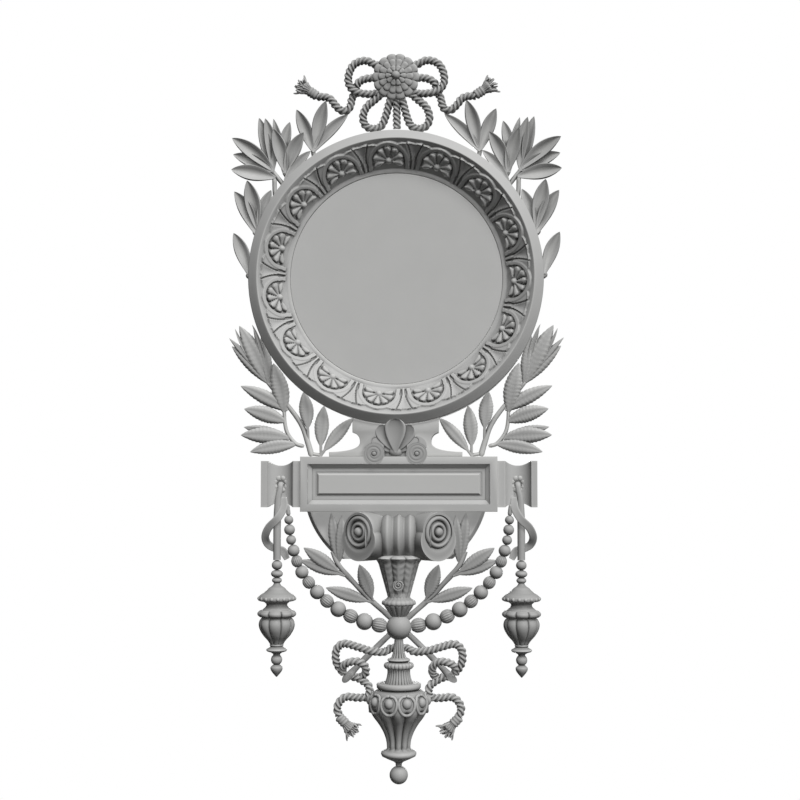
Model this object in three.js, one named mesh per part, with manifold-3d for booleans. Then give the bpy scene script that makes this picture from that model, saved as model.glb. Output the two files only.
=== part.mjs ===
// Carved wall frame: a round moulding with palmettes, crest bow, laurel and olive sprays, a tablet with
// scooped end blocks, and below it an apron, capital, torch, urn pendant, garlands and side pendants.
//
// Every piece is drawn as it is seen on the wall: x to the right, y up, z out from the wall, with the
// origin on the wall behind the middle of the ring. The whole group is then turned so that +Z is up.

import * as THREE from 'three';
import { mergeVertices } from 'three/addons/utils/BufferGeometryUtils.js';
import Module from 'manifold-3d';

const wasm = await Module();
wasm.setup();

// Fits
const GAP = 0.3;

// Ring, radii from its middle and depths out from the wall
const RING_RADIUS = 206;
const RING_EDGE_DEPTH = 39;
const RING_SLOPE_WIDTH = 14;
const CREST_DEPTH = 48;
const BAND_WIDTH = 36;
const LIP_WIDTH = 6.5;
const LIP_DEPTH = 15.5;
const REBATE_WIDTH = 16;
const REBATE_DEPTH = 8;
const RABBET_WIDTH = 15;
const RABBET_DEPTH = 8;
const RING_SEGMENTS = 30;

// Palmettes and darts on the ring's inner slope
const MOTIF_COUNT = 15;
const FIRST_MOTIF_ANGLE = 93.7;
const MOTIF_RISE = 12.5;
const ARCH_RADIUS = 29.5;
const ARCH_HEIGHT = 2;
const FAN_RADIUS = 22;
const FAN_HEIGHT = 4.5;
const DART_WIDTH = 20;
const DART_HEIGHT = 2.8;

// Dial plate
const PLATE_DEPTH = 14.5;

// Everything below the ring stands on a middle line of its own
const LOWER_SHIFT = 4.5;
const NECK_HEIGHT = 45;
const NECK_DEPTH = 34;
const NECK_TOP_WIDTH = 120;
const NECK_WAIST_WIDTH = 99;
const NECK_FOOT_WIDTH = 185;
const NECK_FOOT_HEIGHT = 6.5;
const BOARD_DEPTH = 10;

// Tablet
const TABLET_WIDTH = 272;
const TABLET_HEIGHT = 76;
const TABLET_DEPTH = 44;
const PANEL_BORDER = 10;
const PANEL_SINK = 12;

// End blocks
const BLOCK_WIDTH = 55;
const BLOCK_HEIGHT = 64;
const BLOCK_DEPTH = 36;
const SCOOP_WIDTH = 36;
const SCOOP_DEPTH = 13;
const SCOOP_DIP = 6.4;
const SCOOP_OFFSET = 29;
const HOLE_RADIUS = 5.6;
const FLOWER_RADIUS = 12.3;
const FLOWER_PETALS = 8;

// Apron under the tablet
const APRON_RADIUS = 130;
const APRON_DROP = 66;
const APRON_RISE = 37.5;
const APRON_RIM_DEPTH = 20;
const APRON_RIM_WIDTH = 5;
const APRON_HOLLOW_DEPTH = 11;

// Shell on the neck board
const SHELL_HEIGHT = 45;
const SHELL_LOBE_WIDTH = 26;
const SHELL_KNOB_RADIUS = 9.5;
const SHELL_VOLUTE_RADIUS = 14.4;
const SHELL_VOLUTE_SPREAD = 29.5;
const SHELL_DEPTH = 50;

// Capital, turned on a level axis, with a volute at each end
const AXIS_DEPTH = 34;
const BOLSTER_RADIUS = 33;
const BOLSTER_DROP = 35;
const BOLSTER_HALF = 41;
const VOLUTE_RADIUS = 27;
const VOLUTE_FLARE = 15;
const VOLUTE_SPREAD = 56;
const VOLUTE_TURN = 38;
const VOLUTE_DEPTH = 58;
const VOLUTE_LENGTH = 34;

// Torch, downward from the capital
const CUP_TOP_RADIUS = 29;
const CUP_FOOT_RADIUS = 15.3;
const CUP_HEIGHT = 52;
const CUP_SEAT = 4;
const COLLAR_RADIUS = 23.6;
const COLLAR_HEIGHT = 12;
const CONE_RADIUS = 20.6;
const CONE_FOOT_RADIUS = 11;
const CONE_HEIGHT = 16;
const BIG_BEAD_RADIUS = 17.3;
const BEAD_SEAT = 2.3;

// Centre pendant, downward from the big bead
const STEM_TOP_RADIUS = 6;
const STEM_FOOT_RADIUS = 10;
const STEM_HEIGHT = 27;
const STEM_SEAT = 1.3;
const LIP_RADIUS = 16;
const DRUM_RADIUS = 20.4;
const DRUM_HEIGHT = 33.6;
const DISC_RADIUS = 30.6;
const DISC_HEIGHT = 8.6;
const URN_RADIUS = 39;
const URN_HEIGHT = 86;
const URN_LOBES = 10;
const URN_PEARL_RADIUS = 6.5;
const URN_FOOT_RADIUS = 24.3;
const END_STEM_RADIUS = 4.2;
const END_STEM_HEIGHT = 17.4;
const END_BALL_RADIUS = 12.6;

// Side pendants
const PENDANT_DEPTH = 30;
const PENDANT_OFFSET = 4;
const CORD_RADIUS = 2.8;
const ROD_RADIUS = 5.3;
const ROD_DROP = 73;
const CAP_RADIUS = 25;
const LOBE_RING_RADIUS = 26.5;
const BODY_RADIUS = 25;
const BODY_LOBES = 8;
const DROP_BALL_RADIUS = 7.8;
const PENDANT_HEIGHT = 161;

// Garlands: beads on a half circle hung between the side pendants
const SWAG_INSET = 10.5;
const SWAG_START = 178;
const SWAG_TUCK = 5.2;
const SWAG_TUCK_SINE = 0.52;
const SWAG_HOOK = 16;
const SWAG_DEPTH = 30;
const SWAG_BEADS = 13;
const SWAG_LARGE_FIRST = 7.6;
const SWAG_LARGE_LAST = 13;
const SWAG_SMALL_FIRST = 6.7;
const SWAG_SMALL_LAST = 10.2;

// Ropes, ribbons, stems and leaves
const ROPE_RADIUS = 5.6;
const ROPE_SIDES = 5;
const ROPE_STEP = 23;
const TASSEL_LENGTH = 32;
const TASSEL_RADIUS = 16;
const RIBBON_WIDTH = 10;
const RIBBON_THICKNESS = 5;
const STEM_RADIUS = 3.4;
const BRANCH_RADIUS = 4.2;
const LEAF_THICKNESS = 2.4;
const LEAF_HOLLOW = 2.6;
const LEAF_STALK = 1.8;
const LEAF_ARCH = 6;
const LEAF_SHARES = [0, 0.3, 0.62, 1];
const ROSETTE_RADIUS = 33;
const ROSETTE_PETALS = 12;
const ROSETTE_DEPTH = 26;
const ROSETTE_HEIGHT = 10;
const ROSETTE_BEAD_RADIUS = 6.7;
const ROSETTE_HUB_RADIUS = 18;
const CREST_HEIGHT = 77;
const KNOT_DEPTH = 18;
const LAUREL_DEPTH = 9;
const OLIVE_DEPTH = 11;
const OLIVE_FOOT_INSET = 12;

// The sprays and the crest bow are drawn for this ring radius, the branches and their bow for this
// garland radius, and the side pendants for this height. Each keeps its shares of it.
const SPRAY_RING_RADIUS = 206;
const BRANCH_SWAG_RADIUS = 158.5;
const PENDANT_DRAWN_HEIGHT = 161;

// Places worked out from the sizes
const CREST_RADIUS = RING_RADIUS - RING_SLOPE_WIDTH;
const BAND_RADIUS = CREST_RADIUS - BAND_WIDTH;
const SIGHT_RADIUS = BAND_RADIUS - LIP_WIDTH;
const BEYOND = 5 * RING_RADIUS;
const SPRAY_SHARE = RING_RADIUS / SPRAY_RING_RADIUS;
const PENDANT_SHARE = PENDANT_HEIGHT / PENDANT_DRAWN_HEIGHT;
const TABLET_TOP = -(RING_RADIUS + NECK_HEIGHT);
const TABLET_BOTTOM = TABLET_TOP - TABLET_HEIGHT;
const TABLET_MIDDLE = (TABLET_TOP + TABLET_BOTTOM) / 2;
const BLOCK_BOTTOM = TABLET_MIDDLE - BLOCK_HEIGHT / 2;
const SCOOP_X = TABLET_WIDTH / 2 + SCOOP_OFFSET;
const BOLSTER_Y = TABLET_BOTTOM - BOLSTER_DROP;
const CUP_TOP = BOLSTER_Y - BOLSTER_RADIUS + CUP_SEAT;
const CONE_BOTTOM = CUP_TOP - CUP_HEIGHT - COLLAR_HEIGHT - CONE_HEIGHT;
const BEAD_Y = CONE_BOTTOM - BIG_BEAD_RADIUS + BEAD_SEAT;
const RING_TOP = RING_RADIUS;

const OUT = new THREE.Vector3(0, 0, 1);
const paint = { color: 0xa8a8a6, roughness: 0.82, metalness: 0 };

// Solids

// A closed solid from a geometry: shared corners merged, slivers dropped, faces turned outward
function solid(geometry) {
  geometry.deleteAttribute('normal');
  geometry.deleteAttribute('uv');
  const merged = mergeVertices(geometry, 1e-4);
  const spot = merged.attributes.position;
  const corners = merged.index.array;
  const faces = [];
  let volume = 0;
  const a = new THREE.Vector3();
  const b = new THREE.Vector3();
  const c = new THREE.Vector3();
  for (let i = 0; i < corners.length; i += 3) {
    const [p, q, r] = [corners[i], corners[i + 1], corners[i + 2]];
    if (p === q || q === r || r === p) continue;
    faces.push([p, q, r]);
    a.fromBufferAttribute(spot, p);
    b.fromBufferAttribute(spot, q);
    c.fromBufferAttribute(spot, r);
    volume += a.dot(b.cross(c));
  }
  const outward = volume < 0 ? faces.map(([p, q, r]) => [p, r, q]) : faces;
  return new wasm.Manifold(new wasm.Mesh({
    numProp: 3,
    vertProperties: Float32Array.from(spot.array),
    triVerts: Uint32Array.from(outward.flat()),
  }));
}

const joined = (...solids) => solids.flat().reduce((whole, piece) => whole.add(piece));
const cut = (body, ...tools) => tools.flat().reduce((rest, tool) => rest.subtract(tool), body);

function box(left, right, low, high, back, front) {
  const block = new THREE.BoxGeometry(right - left, high - low, front - back);
  block.translate((left + right) / 2, (low + high) / 2, (back + front) / 2);
  return solid(block);
}

// A node of the frame, on the left, on the right as its mirror image, or in the middle
function node(name, body, mirrored = false) {
  const mesh = body.getMesh();
  const geometry = new THREE.BufferGeometry();
  geometry.setAttribute('position', new THREE.BufferAttribute(mesh.vertProperties, 3));
  geometry.setIndex(new THREE.BufferAttribute(mesh.triVerts, 1));
  if (mirrored) {
    geometry.scale(-1, 1, 1);
    const corners = geometry.index.array;
    for (let i = 0; i < corners.length; i += 3) {
      [corners[i], corners[i + 1]] = [corners[i + 1], corners[i]];
    }
  }
  geometry.computeVertexNormals();
  const piece = new THREE.Mesh(geometry, new THREE.MeshStandardMaterial(paint));
  piece.name = name;
  return piece;
}

// A body turned round y. carve may give a point of a column and row another radius, height and angle.
function turned(profile, segments, carve) {
  const points = profile.map(([radius, height]) => new THREE.Vector2(radius, height));
  const body = new THREE.LatheGeometry(points, segments);
  if (!carve) return body;
  const spot = body.attributes.position;
  for (let i = 0; i < spot.count; i += 1) {
    const column = Math.floor(i / profile.length) % segments;
    const row = i % profile.length;
    const even = (column * 2 * Math.PI) / segments;
    const [radius, height, angle = even] = carve(column, row, ...profile[row]);
    spot.setXYZ(i, radius * Math.sin(angle), height, radius * Math.cos(angle));
  }
  return body;
}

// Every second column of a turned body drawn in by a share, on the rows that are fluted
const fluted = (share, rows) => (column, row, radius, height) => {
  const drawn = column % 2 === 1 && rows.includes(row) ? 1 - share : 1;
  return [radius * drawn, height];
};

// A body that follows a curve. section(row, x, z) sizes the round section at each row, and at(row) is
// the share of the curve's length where that row stands.
function swept(curve, sides, steps, section, at = (row) => row / steps) {
  const bar = new THREE.CylinderGeometry(1, 1, 1, sides, steps);
  const spot = bar.attributes.position;
  for (let i = 0; i < spot.count; i += 1) {
    const row = Math.round((spot.getY(i) + 0.5) * steps);
    const share = at(row);
    const along = curve.getTangentAt(share);
    const side = new THREE.Vector3().crossVectors(along, OUT).normalize();
    const front = new THREE.Vector3().crossVectors(side, along);
    const [across, outward] = section(row, spot.getX(i), spot.getZ(i));
    const place = curve.getPointAt(share).addScaledVector(side, across).addScaledVector(front, outward);
    spot.setXYZ(i, place.x, place.y, place.z);
  }
  return solid(bar);
}

const through = (points) => new THREE.CatmullRomCurve3(points.map((p) => new THREE.Vector3(...p)));

// A round stem that tapers from one radius to another
function stem(points, startRadius, endRadius = startRadius, sides = 3, steps = points.length - 1) {
  return swept(through(points), sides, steps, (row, x, z) => {
    const radius = THREE.MathUtils.lerp(startRadius, endRadius, row / steps);
    return [x * radius, z * radius];
  });
}

// A rope, plain, of even thickness
function rope(points, radius = ROPE_RADIUS) {
  const path = through(points);
  const round = new THREE.Shape();
  for (let i = 0; i < ROPE_SIDES; i += 1) {
    const angle = (i * 2 * Math.PI) / ROPE_SIDES;
    const corner = [radius * Math.cos(angle), radius * Math.sin(angle)];
    if (i === 0) round.moveTo(...corner);
    else round.lineTo(...corner);
  }
  const steps = Math.max(2, Math.round(path.getLength() / ROPE_STEP));
  return solid(new THREE.ExtrudeGeometry(round, { steps, bevelEnabled: false, extrudePath: path }));
}

// A leaf, hollow along its rib. from is its base, heading its direction in degrees, rise how far its tip
// stands out beyond its base, and stalk the length of bare stalk before the blade.
function leaf({ from, heading, length, width, rise = 8, bend = 0, stalk = 0, hollow = LEAF_HOLLOW }) {
  const turn = THREE.MathUtils.degToRad(heading);
  const along = new THREE.Vector3(Math.cos(turn), Math.sin(turn), 0);
  const across = new THREE.Vector3(-Math.sin(turn), Math.cos(turn), 0);
  const base = new THREE.Vector3(...from);
  const tip = base.clone().addScaledVector(along, length).addScaledVector(OUT, rise);
  const middle = base.clone().add(tip).multiplyScalar(0.5).addScaledVector(across, 2 * bend);
  middle.addScaledVector(OUT, LEAF_ARCH);
  const rib = new THREE.QuadraticBezierCurve3(base, middle, tip);
  const bare = stalk / length;
  const blade = LEAF_SHARES.map((share) => THREE.MathUtils.lerp(bare, 1, share));
  const shares = stalk > 0 ? [0, ...blade] : blade;
  const swells = stalk > 0 ? [0, 0, 0.9, 0.9, 0] : [0, 0.9, 0.9, 0];
  const last = shares.length - 1;
  return swept(rib, 4, last, (row, x, z) => {
    const swell = swells[row];
    const bar = row === last ? 0 : LEAF_STALK * (1 - swell);
    const back = (hollow + LEAF_THICKNESS) * swell + bar;
    const front = z > 0.5 ? -hollow * swell : 0;
    return [x * ((width / 2) * swell + bar), z < -0.5 ? -back : front];
  }, (row) => shares[row]);
}

// Ring frame

// Depth of the ornamented slope at a radius
const BAND_SLOPE = (CREST_DEPTH - LIP_DEPTH) / (CREST_RADIUS - BAND_RADIUS);
const bandDepth = (radius) => LIP_DEPTH + (radius - BAND_RADIUS) * BAND_SLOPE;

// Turns a body made round the z axis at the origin into place on the slope: y becomes the way out of it
function onSlope(geometry, degrees, radius, axes) {
  const angle = THREE.MathUtils.degToRad(degrees);
  const radial = new THREE.Vector3(Math.cos(angle), Math.sin(angle), 0);
  const tilt = Math.atan(BAND_SLOPE);
  const uphill = radial.clone().multiplyScalar(Math.cos(tilt)).addScaledVector(OUT, Math.sin(tilt));
  const proud = radial.clone().multiplyScalar(-Math.sin(tilt)).addScaledVector(OUT, Math.cos(tilt));
  const place = new THREE.Matrix4().makeBasis(...axes(uphill, proud));
  place.setPosition(radial.multiplyScalar(radius).addScaledVector(OUT, bandDepth(radius)));
  return solid(geometry.applyMatrix4(place));
}

const upright = (uphill, proud) => [proud.clone().cross(uphill), proud, uphill];
const flat = (uphill, proud) => [uphill.clone().cross(proud), uphill, proud];

function palmette(degrees) {
  const root = 3;
  const reach = MOTIF_RISE - 1;
  const lobes = 5;
  const columns = 2 * lobes;
  const step = THREE.MathUtils.degToRad(21);
  const middle = BAND_RADIUS + MOTIF_RISE * Math.cos(Math.atan(BAND_SLOPE));
  const cone = middle / Math.sin(Math.atan(BAND_SLOPE));
  const rows = [
    [0, FAN_HEIGHT + 1],
    [FAN_RADIUS, FAN_HEIGHT],
    [ARCH_RADIUS, ARCH_HEIGHT],
    [ARCH_RADIUS, -root],
    [0, -root],
  ];
  const fan = turned(rows, columns, (column, row, radius, height) => {
    if (column === 0) return [(radius * reach) / ARCH_RADIUS, Math.min(height, ARCH_HEIGHT), Math.PI];
    const angle = (column - lobes) * step;
    const groove = row === 1 && column % 2 === 0;
    const curve = (radius * Math.sin(angle)) ** 2 / (2 * cone);
    return [radius * (groove ? 0.9 : 1), (groove ? 0.8 : height) + curve, angle];
  });
  return onSlope(fan, degrees, middle, upright);
}

function dart(degrees) {
  const run = Math.hypot(CREST_RADIUS - BAND_RADIUS, CREST_DEPTH - LIP_DEPTH);
  const half = DART_WIDTH / 2;
  const outline = new THREE.Shape();
  outline.moveTo(-half * 0.25, 1);
  outline.lineTo(half * 0.25, 1);
  outline.lineTo(half * 0.35, run * 0.55);
  outline.lineTo(half, run * 0.85);
  outline.lineTo(0, run * 0.95);
  outline.lineTo(-half, run * 0.85);
  outline.lineTo(-half * 0.35, run * 0.55);
  outline.closePath();
  const tongue = new THREE.ExtrudeGeometry(outline, { depth: DART_HEIGHT + 3, bevelEnabled: false });
  tongue.translate(0, 0, -3);
  return onSlope(tongue, degrees, BAND_RADIUS, flat);
}

// The ring's outer form, grown by a clearance when it cuts what stands against it
function ringBody(clearance = 0) {
  const rebate = RING_RADIUS - REBATE_WIDTH;
  const sight = SIGHT_RADIUS + RABBET_WIDTH;
  const profile = [
    [sight, 0],
    [rebate + clearance, 0],
    [rebate + clearance, REBATE_DEPTH - clearance],
    [RING_RADIUS + clearance, REBATE_DEPTH - clearance],
    [RING_RADIUS + clearance, RING_EDGE_DEPTH + clearance],
    [CREST_RADIUS, CREST_DEPTH + clearance],
    [BAND_RADIUS, LIP_DEPTH],
    [SIGHT_RADIUS, LIP_DEPTH],
    [SIGHT_RADIUS, RABBET_DEPTH],
    [sight, RABBET_DEPTH],
    [sight, 0],
  ];
  return solid(turned(profile, RING_SEGMENTS).rotateX(Math.PI / 2));
}

function ringFrame() {
  const step = 360 / MOTIF_COUNT;
  const motifs = [];
  for (let i = 0; i < MOTIF_COUNT; i += 1) {
    motifs.push(palmette(FIRST_MOTIF_ANGLE + i * step));
    motifs.push(dart(FIRST_MOTIF_ANGLE + (i + 0.5) * step));
  }
  return joined(ringBody(), ...motifs);
}

function dialPlate() {
  const flange = SIGHT_RADIUS + RABBET_WIDTH - GAP;
  const face = SIGHT_RADIUS - GAP;
  const step = RABBET_DEPTH - GAP;
  const profile = [[0, 0], [flange, 0], [flange, step], [face, step], [face, PLATE_DEPTH], [0, PLATE_DEPTH]];
  return solid(turned(profile, RING_SEGMENTS).rotateX(Math.PI / 2));
}

// Boards

function neckOutline() {
  const top = NECK_TOP_WIDTH / 2;
  const waist = NECK_WAIST_WIDTH / 2;
  const foot = NECK_FOOT_WIDTH / 2;
  const base = TABLET_TOP + GAP;
  const ledge = TABLET_TOP + NECK_FOOT_HEIGHT;
  const waistY = TABLET_TOP + NECK_HEIGHT * 0.45;
  const shoulderY = TABLET_TOP + NECK_HEIGHT * 0.75;
  const outline = new THREE.Shape();
  outline.moveTo(-foot, base);
  outline.lineTo(foot, base);
  outline.lineTo(foot, ledge);
  outline.quadraticCurveTo(waist, ledge + 1, waist, waistY);
  outline.quadraticCurveTo(waist, shoulderY - 3, top, shoulderY);
  outline.lineTo(top, TABLET_TOP + NECK_HEIGHT * 1.4);
  outline.lineTo(-top, TABLET_TOP + NECK_HEIGHT * 1.4);
  outline.lineTo(-top, shoulderY);
  outline.quadraticCurveTo(-waist, shoulderY - 3, -waist, waistY);
  outline.quadraticCurveTo(-waist, ledge + 1, -foot, ledge);
  outline.closePath();
  return outline;
}

// The dished disc that the apron is a slice of
function apronDish(clearance = 0) {
  const rim = APRON_RADIUS - APRON_RIM_WIDTH;
  const profile = [
    [0, 0],
    [APRON_RADIUS, 0],
    [APRON_RADIUS, APRON_RIM_DEPTH - APRON_RIM_WIDTH + clearance],
    [rim, APRON_RIM_DEPTH + clearance],
    [rim * 0.75, (APRON_RIM_DEPTH + APRON_HOLLOW_DEPTH) / 2 + clearance],
    [0, APRON_HOLLOW_DEPTH + clearance],
  ];
  const dish = turned(profile, 36).rotateX(Math.PI / 2);
  return solid(dish.translate(0, TABLET_BOTTOM + APRON_RISE, 0));
}

function backboard() {
  const neck = new THREE.ExtrudeGeometry(neckOutline(), {
    depth: NECK_DEPTH,
    bevelEnabled: false,
    curveSegments: 4,
  });
  const railHalf = TABLET_WIDTH / 2 + BLOCK_WIDTH - 6;
  const railEdge = 6;
  const spineHalf = NECK_WAIST_WIDTH / 2;
  const railRise = BLOCK_HEIGHT / 2 - railEdge;
  const rail = box(LOWER_SHIFT - railHalf, LOWER_SHIFT + railHalf, TABLET_MIDDLE - railRise,
    TABLET_MIDDLE + railRise, 0, BOARD_DEPTH);
  const spine = box(-spineHalf, spineHalf, TABLET_BOTTOM - 2, TABLET_TOP + 2, 0, BOARD_DEPTH);
  const slice = box(-APRON_RADIUS, APRON_RADIUS, TABLET_BOTTOM - APRON_DROP, TABLET_BOTTOM - GAP,
    -1, APRON_RIM_DEPTH + 1);
  const whole = joined(solid(neck), rail, spine, apronDish().intersect(slice));
  return cut(whole, ringBody(GAP), ringFill());
}

// Fills the ring's sight, so that boards that run up to the ring end outside it
function ringFill() {
  const disc = new THREE.CylinderGeometry(CREST_RADIUS, CREST_RADIUS, CREST_DEPTH + 4, RING_SEGMENTS);
  return solid(disc.rotateX(Math.PI / 2).translate(0, 0, (CREST_DEPTH + 4) / 2 - 1));
}

// Tablet and end blocks

const BOARD_FRONT = BOARD_DEPTH + GAP;

function tabletBlock(clearance = 0) {
  const half = TABLET_WIDTH / 2 + clearance;
  return box(LOWER_SHIFT - half, LOWER_SHIFT + half, TABLET_BOTTOM - clearance, TABLET_TOP + clearance,
    BOARD_FRONT, TABLET_DEPTH + clearance);
}

function tablet() {
  const rows = [
    [0, 0],
    [0, PANEL_BORDER - 2],
    [0, PANEL_BORDER],
    [-0.55 * PANEL_SINK, PANEL_BORDER + 8],
    [-0.55 * PANEL_SINK, PANEL_BORDER + 12],
    [-0.85 * PANEL_SINK, PANEL_BORDER + 14],
    [-0.85 * PANEL_SINK, PANEL_BORDER + 17],
    [-PANEL_SINK, PANEL_BORDER + 18],
    [-PANEL_SINK, 0],
  ];
  const profile = rows.map(([height], row) => [row === 0 || row === rows.length - 1 ? 0 : 1, height]);
  const sunk = turned(profile, 4, (column, row, radius, height) => {
    if (radius === 0) return [0, row === 0 ? 2 : height];
    const inset = rows[row][1];
    const x = (column < 2 ? 1 : -1) * (TABLET_WIDTH / 2 - Math.max(inset, PANEL_BORDER));
    const y = (column === 0 || column === 3 ? 1 : -1) * (TABLET_HEIGHT / 2 - Math.max(inset, PANEL_BORDER));
    return [Math.hypot(x, y), row === 1 ? 2 : height, Math.atan2(x, y)];
  });
  sunk.rotateX(Math.PI / 2);
  sunk.scale(1, -1, 1);
  sunk.translate(LOWER_SHIFT, TABLET_MIDDLE, TABLET_DEPTH);
  return cut(tabletBlock(), solid(sunk));
}

// The left end block. Its face is scooped like a spool, and its top and bottom dip with the scoop.
function endBlock(clearance = 0) {
  const inner = LOWER_SHIFT - TABLET_WIDTH / 2 - GAP;
  const outer = inner - BLOCK_WIDTH - clearance;
  const centre = LOWER_SHIFT - SCOOP_X;
  const low = BLOCK_BOTTOM - clearance;
  const high = TABLET_MIDDLE + BLOCK_HEIGHT / 2 + clearance;
  const half = SCOOP_WIDTH / 2 - clearance;
  const front = BLOCK_DEPTH + clearance;
  const outline = new THREE.Shape();
  outline.moveTo(outer, low);
  outline.lineTo(centre - half, low);
  outline.quadraticCurveTo(centre, low + 2 * SCOOP_DIP, centre + half, low);
  outline.lineTo(inner, low);
  outline.lineTo(inner, high);
  outline.lineTo(centre + half, high);
  outline.quadraticCurveTo(centre, high - 2 * SCOOP_DIP, centre - half, high);
  outline.lineTo(outer, high);
  outline.closePath();
  const block = new THREE.ExtrudeGeometry(outline, {
    depth: front - BOARD_FRONT,
    bevelEnabled: false,
    curveSegments: 4,
  });
  block.translate(0, 0, BOARD_FRONT);
  const scoopRadius = (half * half + SCOOP_DEPTH * SCOOP_DEPTH) / (2 * SCOOP_DEPTH);
  const scoop = new THREE.CylinderGeometry(scoopRadius, scoopRadius, BLOCK_HEIGHT + 4, 16);
  const floor = front - SCOOP_DEPTH;
  scoop.translate(centre, TABLET_MIDDLE, floor + scoopRadius);
  const edge = FLOWER_RADIUS + clearance;
  const petalLine = [[0, 1.4], [edge, 0.8], [edge, -3], [0, -3]];
  const petals = turned(petalLine, 2 * FLOWER_PETALS, fluted(0.14, [1, 2]));
  petals.rotateX(Math.PI / 2).translate(centre, TABLET_MIDDLE, floor);
  const bore = HOLE_RADIUS - clearance;
  const hole = new THREE.CylinderGeometry(bore, bore, BLOCK_DEPTH, 8);
  hole.rotateX(Math.PI / 2).translate(centre, TABLET_MIDDLE, BLOCK_DEPTH / 2 + 2);
  return cut(joined(cut(solid(block), solid(scoop)), solid(petals)), solid(hole));
}

// Shell

function shell() {
  const seat = NECK_DEPTH + GAP;
  const base = TABLET_TOP + 6;
  const lobe = (heading, length, width) => leaf({
    from: [0, base, seat + 5],
    heading,
    length,
    width,
    rise: SHELL_DEPTH - seat - 9,
    hollow: 3,
  });
  const lobes = [
    lobe(90, SHELL_HEIGHT, SHELL_LOBE_WIDTH),
    lobe(90 + 36, SHELL_HEIGHT * 0.9, SHELL_LOBE_WIDTH * 0.7),
    lobe(90 - 36, SHELL_HEIGHT * 0.9, SHELL_LOBE_WIDTH * 0.7),
    lobe(90 + 58, SHELL_HEIGHT * 0.92, SHELL_LOBE_WIDTH * 0.6),
    lobe(90 - 58, SHELL_HEIGHT * 0.92, SHELL_LOBE_WIDTH * 0.6),
  ];
  const bed = box(-SHELL_VOLUTE_SPREAD, SHELL_VOLUTE_SPREAD, base - 4, base + 12, seat - 1, seat + 6);
  const knob = new THREE.SphereGeometry(SHELL_KNOB_RADIUS, 8, 4);
  knob.scale(1, 0.8, 1).translate(0, base, seat + 4);
  const seatDepth = seat - TABLET_DEPTH - 1;
  const volute = (x) => {
    const r = SHELL_VOLUTE_RADIUS;
    const rows = [[0, 6], [r * 0.5, 2], [r * 0.8, 4], [r, seatDepth], [0, seatDepth]];
    const coil = turned(rows, 9).rotateX(Math.PI / 2);
    return solid(coil.translate(x, TABLET_TOP + 4, TABLET_DEPTH + 1));
  };
  const spread = [-SHELL_VOLUTE_SPREAD, SHELL_VOLUTE_SPREAD];
  const whole = joined(...lobes, bed, solid(knob), spread.map(volute));
  const behind = box(-BEYOND, BEYOND, -BEYOND, BEYOND, 0, seat);
  return cut(whole, tabletBlock(GAP), behind, ringBody(GAP));
}

// Capital

function bolster(clearance = 0) {
  const half = BOLSTER_HALF;
  const r = BOLSTER_RADIUS + clearance;
  const side = [[0.18, 0.84], [0.37, 0.96], [0.62, 0.78], [1, 1]];
  const right = side.map(([share, size]) => [r * size, half * share]);
  const left = [...right].reverse().map(([radius, x]) => [radius, -x]);
  const profile = [[0, -half], ...left, [r, 0], ...right, [0, half]];
  const roll = turned(profile, 10).rotateZ(-Math.PI / 2);
  return solid(roll.translate(LOWER_SHIFT, BOLSTER_Y, AXIS_DEPTH));
}

// One volute: a spiral drum that widens below, with raised rings and an eye on its face
function volute(side, clearance = 0) {
  const r = VOLUTE_RADIUS + clearance;
  const rows = [
    [0, -VOLUTE_LENGTH],
    [r, -VOLUTE_LENGTH],
    [r, 0],
    [r * 0.82, -3],
    [r * 0.62, 1],
    [r * 0.42, -3],
    [0, 4],
  ];
  const columns = 12;
  const drum = turned(rows, columns, (column, row, radius, height) => {
    if (row < 1 || row > 2) return [radius, height];
    const below = Math.max(0, -Math.cos((column * 2 * Math.PI) / columns - side * 0.35));
    return [radius + VOLUTE_FLARE * below ** 2, height];
  });
  drum.rotateX(Math.PI / 2);
  drum.rotateY(side * THREE.MathUtils.degToRad(VOLUTE_TURN));
  const centreY = TABLET_BOTTOM - VOLUTE_RADIUS - GAP;
  return solid(drum.translate(LOWER_SHIFT + side * VOLUTE_SPREAD, centreY, VOLUTE_DEPTH));
}

function capital() {
  const whole = joined(bolster(), volute(-1), volute(1));
  const front = box(-BEYOND, BEYOND, -BEYOND, TABLET_BOTTOM - GAP, APRON_HOLLOW_DEPTH + GAP, BEYOND);
  return cut(whole.intersect(front), apronDish(GAP));
}

// Torch, big bead and centre pendant, turned on the lower middle line

const onAxis = (body, y) => solid(body.translate(LOWER_SHIFT, y, AXIS_DEPTH));
const wallSide = () => box(-BEYOND, BEYOND, -BEYOND, BEYOND, -BEYOND, 0);
const bigBead = (clearance = 0) =>
  onAxis(new THREE.SphereGeometry(BIG_BEAD_RADIUS + clearance, 12, 8), BEAD_Y);

function torch() {
  const foot = -CUP_HEIGHT;
  const neck = foot - COLLAR_HEIGHT;
  const end = neck - CONE_HEIGHT;
  const profile = [
    [0, end],
    [CONE_FOOT_RADIUS, end],
    [CONE_RADIUS, neck],
    [COLLAR_RADIUS, neck],
    [COLLAR_RADIUS, neck + 3],
    [CUP_FOOT_RADIUS + 2, foot],
    [CUP_FOOT_RADIUS, foot + 2],
    [CUP_TOP_RADIUS * 0.8, foot * 0.4],
    [CUP_TOP_RADIUS, 0],
    [CUP_TOP_RADIUS * 0.6, CUP_SEAT],
    [0, CUP_SEAT],
  ];
  const body = onAxis(turned(profile, 12, fluted(0.12, [1, 2, 7, 8])), CUP_TOP);
  return cut(body, bolster(GAP), volute(-1, GAP), volute(1, GAP), bigBead(GAP), apronDish(GAP), wallSide());
}

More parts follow.
